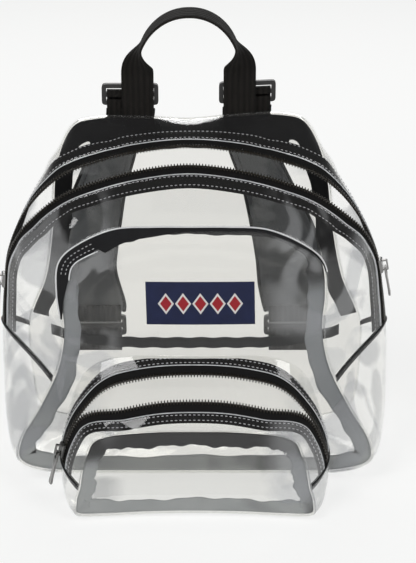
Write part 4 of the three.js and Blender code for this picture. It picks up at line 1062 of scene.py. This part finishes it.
def flat_tube(name, line, face):
    """Binding tape folded over an edge: an ellipse that follows the line."""
    count = 12
    angle = (2 * np.pi * np.arange(count) / count)[None, :, None]
    side = np.array([1.0, 0.0, 0.0])
    wide, thick = STRAP_EDGE_REACH, STRAP_EDGE_LIFT
    grid = line[:, None, :] + np.cos(angle) * wide * side + np.sin(angle) * thick * face[:, None, :]
    around = np.arange(count) / count * 10
    tube(name, grid, line[[0, -1]], run_lengths(line)[:, None], around, TAPE_LOOK)


def round_bar(middle_y, top_z, sign=1):
    """A half turn of webbing over a bar, from its front to its back; sign -1 goes under the bar."""
    turn = np.radians(np.linspace(0, 90, 9))
    reach = BUCKLE_THICKNESS / 2 + WEB_REACH * np.cos(turn)
    rise = top_z + sign * WEB_REACH * np.sin(turn)
    before = np.stack([middle_y - reach, rise], -1)
    after = np.stack([middle_y + reach, rise], -1)[::-1]
    return np.concatenate([before, after])


def strap_webbing(node, parts, middle_x):
    """Webbing along a path of depth and height, as wide as the drawing's."""
    path = np.concatenate([np.atleast_2d(part) for part in parts])
    lengths = run_lengths(path)
    even = np.linspace(0, lengths[-1], max(int(lengths[-1] / 0.8), 12))
    line = np.stack([np.interp(even, lengths, path[:, k]) for k in range(2)], -1)
    points = np.stack([np.full(len(line), middle_x), line[:, 0], line[:, 1]], -1)
    along = unit(np.gradient(points, axis=0))
    normal = np.cross(along, np.array([1.0, 0.0, 0.0]))
    edges = [lean(points + np.array([sign * WEB_WIDTH / 2, 0, 0])) for sign in (-1, 1)]
    band(f"{node}_webbing", edges, normal, WEB_THICKNESS, node, WEB_WIDTH)


def carry_side(name, side):
    """One side's anchor, strap and foot webbing through its two buckles, and its padded strap."""
    anchor_x, adjuster_x = side * ANCHOR_SPAN / 2, side * ADJUSTER_SPAN / 2
    lower_bar = BUCKLE_FOOT + BUCKLE_BAR
    middle_bar = lower_bar + BUCKLE_SLOT + BUCKLE_BAR
    strap_top, strap_foot = STRAP_ROWS[0, 0] * BAG_HEIGHT, STRAP_ROWS[-1, 0] * BAG_HEIGHT
    top_web_y = STRAP_TOP_Y + STRAP_THICKNESS / 2 + WEB_REACH
    strap_webbing(f"strap_anchor_{name}", [
        (ANCHOR_Y, BAG_HEIGHT - LOOP_SEWN), (ANCHOR_Y, BAG_HEIGHT), round_bar(BUCKLE_Y, lower_bar),
        (ANCHOR_TAIL_Y, BUCKLE_FOOT - ANCHOR_TAIL),
    ], anchor_x)
    strap_webbing(f"strap_web_{name}", [
        (ANCHOR_Y, middle_bar - BUCKLE_BAR), round_bar(BUCKLE_Y, middle_bar),
        (ANCHOR_TAIL_Y + 1.5, middle_bar - BUCKLE_BAR), (top_web_y, strap_top + 1),
        (top_web_y + 0.3, strap_top - STRAP_SEWN),
    ], anchor_x)
    strap_webbing(f"strap_foot_{name}", [
        (FOOT_WEB_Y, ADJUSTER_FOOT - STRAP_SEWN), round_bar(ADJUSTER_Y, ADJUSTER_FOOT + BUCKLE_BAR),
        (ADJUSTER_Y + BUCKLE_THICKNESS / 2 + WEB_REACH, ADJUSTER_FOOT - FOOT_TAIL),
    ], adjuster_x)
    grip = STRAP_THICKNESS / 2 + WEB_REACH
    strap_webbing(f"strap_tab_{name}", [
        (ADJUSTER_Y - grip, strap_foot + STRAP_SEWN / 2),
        round_bar(ADJUSTER_Y, ADJUSTER_FOOT + BUCKLE_HEIGHT - BUCKLE_BAR, -1),
        (ADJUSTER_Y + grip, strap_foot + STRAP_SEWN / 2),
    ], adjuster_x)
    shoulder_strap(name, side)


# The front seam's fold: the row and how wide the tape is that stands over the panel there
FOLD_ROWS = np.array([8.7, 10.2, 12.9, 13.2, 14.3, 15.45, 15.55, 16.4, 17.25, 17.6, 18.7])
FOLD_KINK = 15.6
FOLD_WIDTHS = np.array([0.5, 2.6, 3.2, 3.6, 8.5, 15.0, 11.0, 9.5, 9.0, 8.5, 0.6])


def front_seam_fold():
    """The binding that is folded out over the panel along its top: wide at the left kink, thin on the
    right, and lifted by half a sine across it."""
    rows = np.linspace(FOLD_ROWS[0], FOLD_ROWS[-1], 420)
    width = np.interp(rows, FOLD_ROWS, FOLD_WIDTHS)
    shares = np.linspace(0, 1, 9)
    edges = [rim_points(bag, 0, rows, -0.6 + share * (width + 0.6)).T for share in shares]
    hump = 0.6 + 1.1 * np.sin(np.pi * shares)
    outer, inner = (
        np.stack([stand(front_y, *edge, -0.15 - h) for edge, h in zip(edges, heights)], axis=1)
        for heights in (hump, 0 * hump)
    )
    along = run_lengths(outer[:, 4])[:, None]
    slab("front_seam_fold_cloth", outer, inner, along, shares * width[:, None], FOLD_LOOK)

    def line(inset, out, low=0.0, high=FOLD_ROWS[-1]):
        keep = (rows > low) & (rows <= high)
        points = stand(front_y, *rim_points(bag, 0, rows, inset).T, -out)[keep]
        return points, np.broadcast_to([0.0, -1.0, 0.0], points.shape)

    # The two pale glossy cords are painted highlights: a line along the fold's top edge, and one along its
    # lower edge at the left
    cord("front_seam_fold_highlight_bead", *line(-0.7, 0.9), 0.62, 8, GLINT_LOOK, "clear_vinyl")
    hem = line(width + 0.5, 0.5, FOLD_KINK, 17.6)
    cord("front_seam_fold_hem_highlight", *hem, 0.6, 8, GLINT_LOOK, "clear_vinyl")
    sewn = [line(0.35 * width, 1.75, FOLD_KINK, 17.4), line(0.72 * width, 1.6, FOLD_KINK, 17.4)]
    stitches("front_seam_fold_stitches", sewn, THREAD_LOOK)


def label():
    """A woven patch on the front panel's belly: it eases down at its edge, inside which a bell-shaped ridge
    runs round it."""
    width, height, thickness = 82.0, 34.5, 0.9
    offset, level = 6.0, 156.0
    u = np.linspace(-width / 2, width / 2, 83)[:, None]
    v = np.linspace(-height / 2, height / 2, 36)[None, :]
    u, v = np.broadcast_arrays(u, v)
    from_edge = np.minimum(width / 2 - np.abs(u), height / 2 - np.abs(v))
    ridge = 0.25 * np.exp(-((from_edge - 2.2) / 0.7) ** 2)
    puff = thickness * (0.45 + 0.55 * smooth(0, 1.0, from_edge)) + ridge
    x, z = u + offset, v + level
    outer, inner = stand(front_y, x, z, -0.2 - puff), stand(front_y, x, z, -0.2)
    slab("label_patch", outer, inner, u, v, LABEL_LOOK, ["label"])


def back_seam_band():
    """The seam across the back, which sags from each side to its middle with the fourth power of the way."""
    half = 117
    x = np.linspace(-half, half, 120)[:, None]
    middle = 73.0 + 13.0 * (x / half) ** 4
    z = middle + np.linspace(-4.5, 4.5, 5)[None, :] + 0.4 * np.sin(x / 3.1)
    x = np.broadcast_to(x, z.shape)
    outer, inner = (stand(back_y, x, z, -depth) for depth in (TAPE_UNDER, VINYL + 1.0))
    slab("back_seam_cloth", outer, inner, x, z, TAPE_LOOK, ["back_seam_band"])


PANEL_FOLDS = (
    (-84, 204, -40, 182, 3.0, 1.4),
    (-84, 198, -60, 150, 4.0, -1.5),
    (93, 196, 40, 178, 3.0, 1.6),
    (93, 188, 30, 164, 3.5, -1.4),
    (96, 182, 52, 140, 5.0, 1.5),
    (-96, 120, -40, 150, 5.0, 1.2),
    (98, 118, 50, 150, 5.0, 1.2),
)


# Where the bindings' widths change, in rows from the middle of the top
FOLD_LEFT = (0.4, 3.0)
FOLD_RIGHT = (-2.8, -4.5)
FOLDED_SHARE = 0.35
YOKE_END = (2.2, 3.6)
YOKE_START_ROW = 6.05


def front_binding_width(row):
    """Full down the sides, and folded thin along the top but for its left end."""
    from_top = row - bag.top
    full = np.maximum(smooth(*FOLD_LEFT, from_top), smooth(*FOLD_RIGHT, from_top))
    return BINDING_WIDTH * mix(FOLDED_SHARE, 1, full)


def back_binding_width(row):
    """The yoke's width over the top, easing to the tape's down the sides."""
    return mix(YOKE_WIDTH, BINDING_WIDTH, smooth(*YOKE_END, np.abs(row - bag.top)))


def floor():
    """A pale floor that glows a little of its own, so that it stays even to its edges."""
    g = Graph("pale_floor")
    matt = g.principled(Base_Color=rgb(0.86, 0.86, 0.85), Roughness=0.9)
    glow = g.node("ShaderNodeEmission", {"Color": rgb(0.945, 0.95, 0.945), "Strength": 1.24})
    look = g.done(g.node("ShaderNodeMixShader", {0: 0.62, 1: matt, 2: glow}))
    mesh = bpy.data.meshes.new("floor")
    reach = 8.0
    corners = [(-reach, -reach, 0), (reach, -reach, 0), (reach, reach, 0), (-reach, reach, 0)]
    mesh.from_pydata(corners, [], [(0, 1, 2, 3)])
    mesh.materials.append(look)
    made = bpy.data.objects.new("floor", mesh)
    bpy.context.collection.objects.link(made)


def area_light(name, where, target, size, power, colour=(1, 1, 1)):
    """A soft rectangular light that faces its target."""
    data = bpy.data.lights.new(name, "AREA")
    data.shape = "RECTANGLE"
    data.size, data.size_y = size
    data.energy = power
    data.color = colour
    made = bpy.data.objects.new(name, data)
    bpy.context.collection.objects.link(made)
    made.location = where
    direction = np.asarray(target) - np.asarray(where)
    yaw = math.atan2(direction[0], -direction[1])
    pitch = math.atan2(math.hypot(direction[0], direction[1]), -direction[2])
    made.rotation_euler = (pitch, 0, yaw + math.pi)
    return made


def world():
    """Bright near the horizon and dark overhead, which is what the vinyl's upward faces mirror."""
    sky = bpy.data.worlds.new("studio")
    bpy.context.scene.world = sky
    sky.use_nodes = True
    tree = sky.node_tree
    tree.nodes.clear()
    coords = tree.nodes.new("ShaderNodeTexCoord")
    parts = tree.nodes.new("ShaderNodeSeparateXYZ")
    ramp = tree.nodes.new("ShaderNodeValToRGB")
    stops = ((0.0, 0.85), (0.12, 0.6), (0.35, 0.16), (0.7, 0.05), (1.0, 0.04))
    for index, (position, level) in enumerate(stops):
        stop = ramp.color_ramp.elements[index] if index < 2 else ramp.color_ramp.elements.new(position)
        stop.position = position
        stop.color = (level, level, level, 1)
    background = tree.nodes.new("ShaderNodeBackground")
    out = tree.nodes.new("ShaderNodeOutputWorld")
    tree.links.new(coords.outputs["Generated"], parts.inputs[0])
    tree.links.new(parts.outputs["Z"], ramp.inputs[0])
    tree.links.new(ramp.outputs[0], background.inputs["Color"])
    tree.links.new(background.outputs[0], out.inputs["Surface"])


CAMERA_PLACE = np.array([10.0, -1422.6, 783.2])
CAMERA_PITCH = 24
CAMERA_LENS = 127.9


def camera():
    """The photograph's view: level across and pitched down, with a long lens."""
    data = bpy.data.cameras.new("camera")
    data.sensor_width = 36.0
    data.lens = CAMERA_LENS
    made = bpy.data.objects.new("camera", data)
    bpy.context.collection.objects.link(made)
    made.location = place(CAMERA_PLACE)
    made.rotation_euler = (math.radians(90 - CAMERA_PITCH), 0, 0)
    bpy.context.scene.camera = made


# The pieces
zipped_gusset("", bag_zip, 260, 200)
zipped_gusset("pocket_", pocket_zip, 200, 160)
panel("front_panel_sheet", bag, 0, front_y, 1, 0.42 * BAG_HEIGHT, "front_panel", PANEL_LOOK, PANEL_FOLDS)
panel("back_panel_sheet", bag, 1, back_y, -1, 0.45 * BAG_HEIGHT, "back_panel", BACK_LOOK)
panel("pocket_panel_sheet", pocket, 0, pocket_y, 1, 0.3 * POCKET_HEIGHT, "pocket_panel", PANEL_LOOK)
front_rows = ring_rows(bag, 900)
front_width = front_binding_width(front_rows)
binding("front_binding", bag, 0, front_y, 1, front_rows, front_width, FRONT_TAPE_LOOK, True)
back_rows = np.linspace(YOKE_START_ROW, 2 * bag.top - YOKE_START_ROW, 600)
binding("back_binding", bag, 1, back_y, -1, back_rows, back_binding_width(back_rows), TAPE_LOOK, False)
pocket_rows = ring_rows(pocket, 700)
binding("pocket_binding", pocket, 0, pocket_y, 1, pocket_rows, POCKET_BINDING_WIDTH, POCKET_TAPE_LOOK, True)
seam_welt("front_seam_welt", bag, 0)
seam_welt("back_seam_welt", bag, 1)
seam_welt("pocket_seam_welt", pocket, 0, 0.6)
back_seam_band()
haul_loop()
front_seam_fold()
for side_name, side in SIDES:
    carry_side(side_name, side)
label()

# CAD nodes that keep their shape get their finish
for node, made in frame["nodes"].items():
    look = None
    if "buckle" in node or "adjuster" in node:
        look = PLASTIC_LOOK
    elif "zip_slider" in node or "zip_pull" in node:
        look = METAL_LOOK
    if look is not None:
        made.data.materials.clear()
        made.data.materials.append(look)

# The floor, the light and the view
floor()
world()
camera()
area_light("key", (-0.9, -0.9, 1.6), (0, 0, 0.15), (0.9, 0.9), 14)
area_light("fill", (1.1, -0.8, 1.2), (0, 0, 0.15), (0.7, 0.7), 8)
area_light("top_strip", (0.0, 1.3, 0.9), (0, 0, 0.2), (1.6, 0.3), 7)
scene = bpy.context.scene
scene.view_settings.view_transform = "Standard"
scene.cycles.transparent_max_bounces = 48
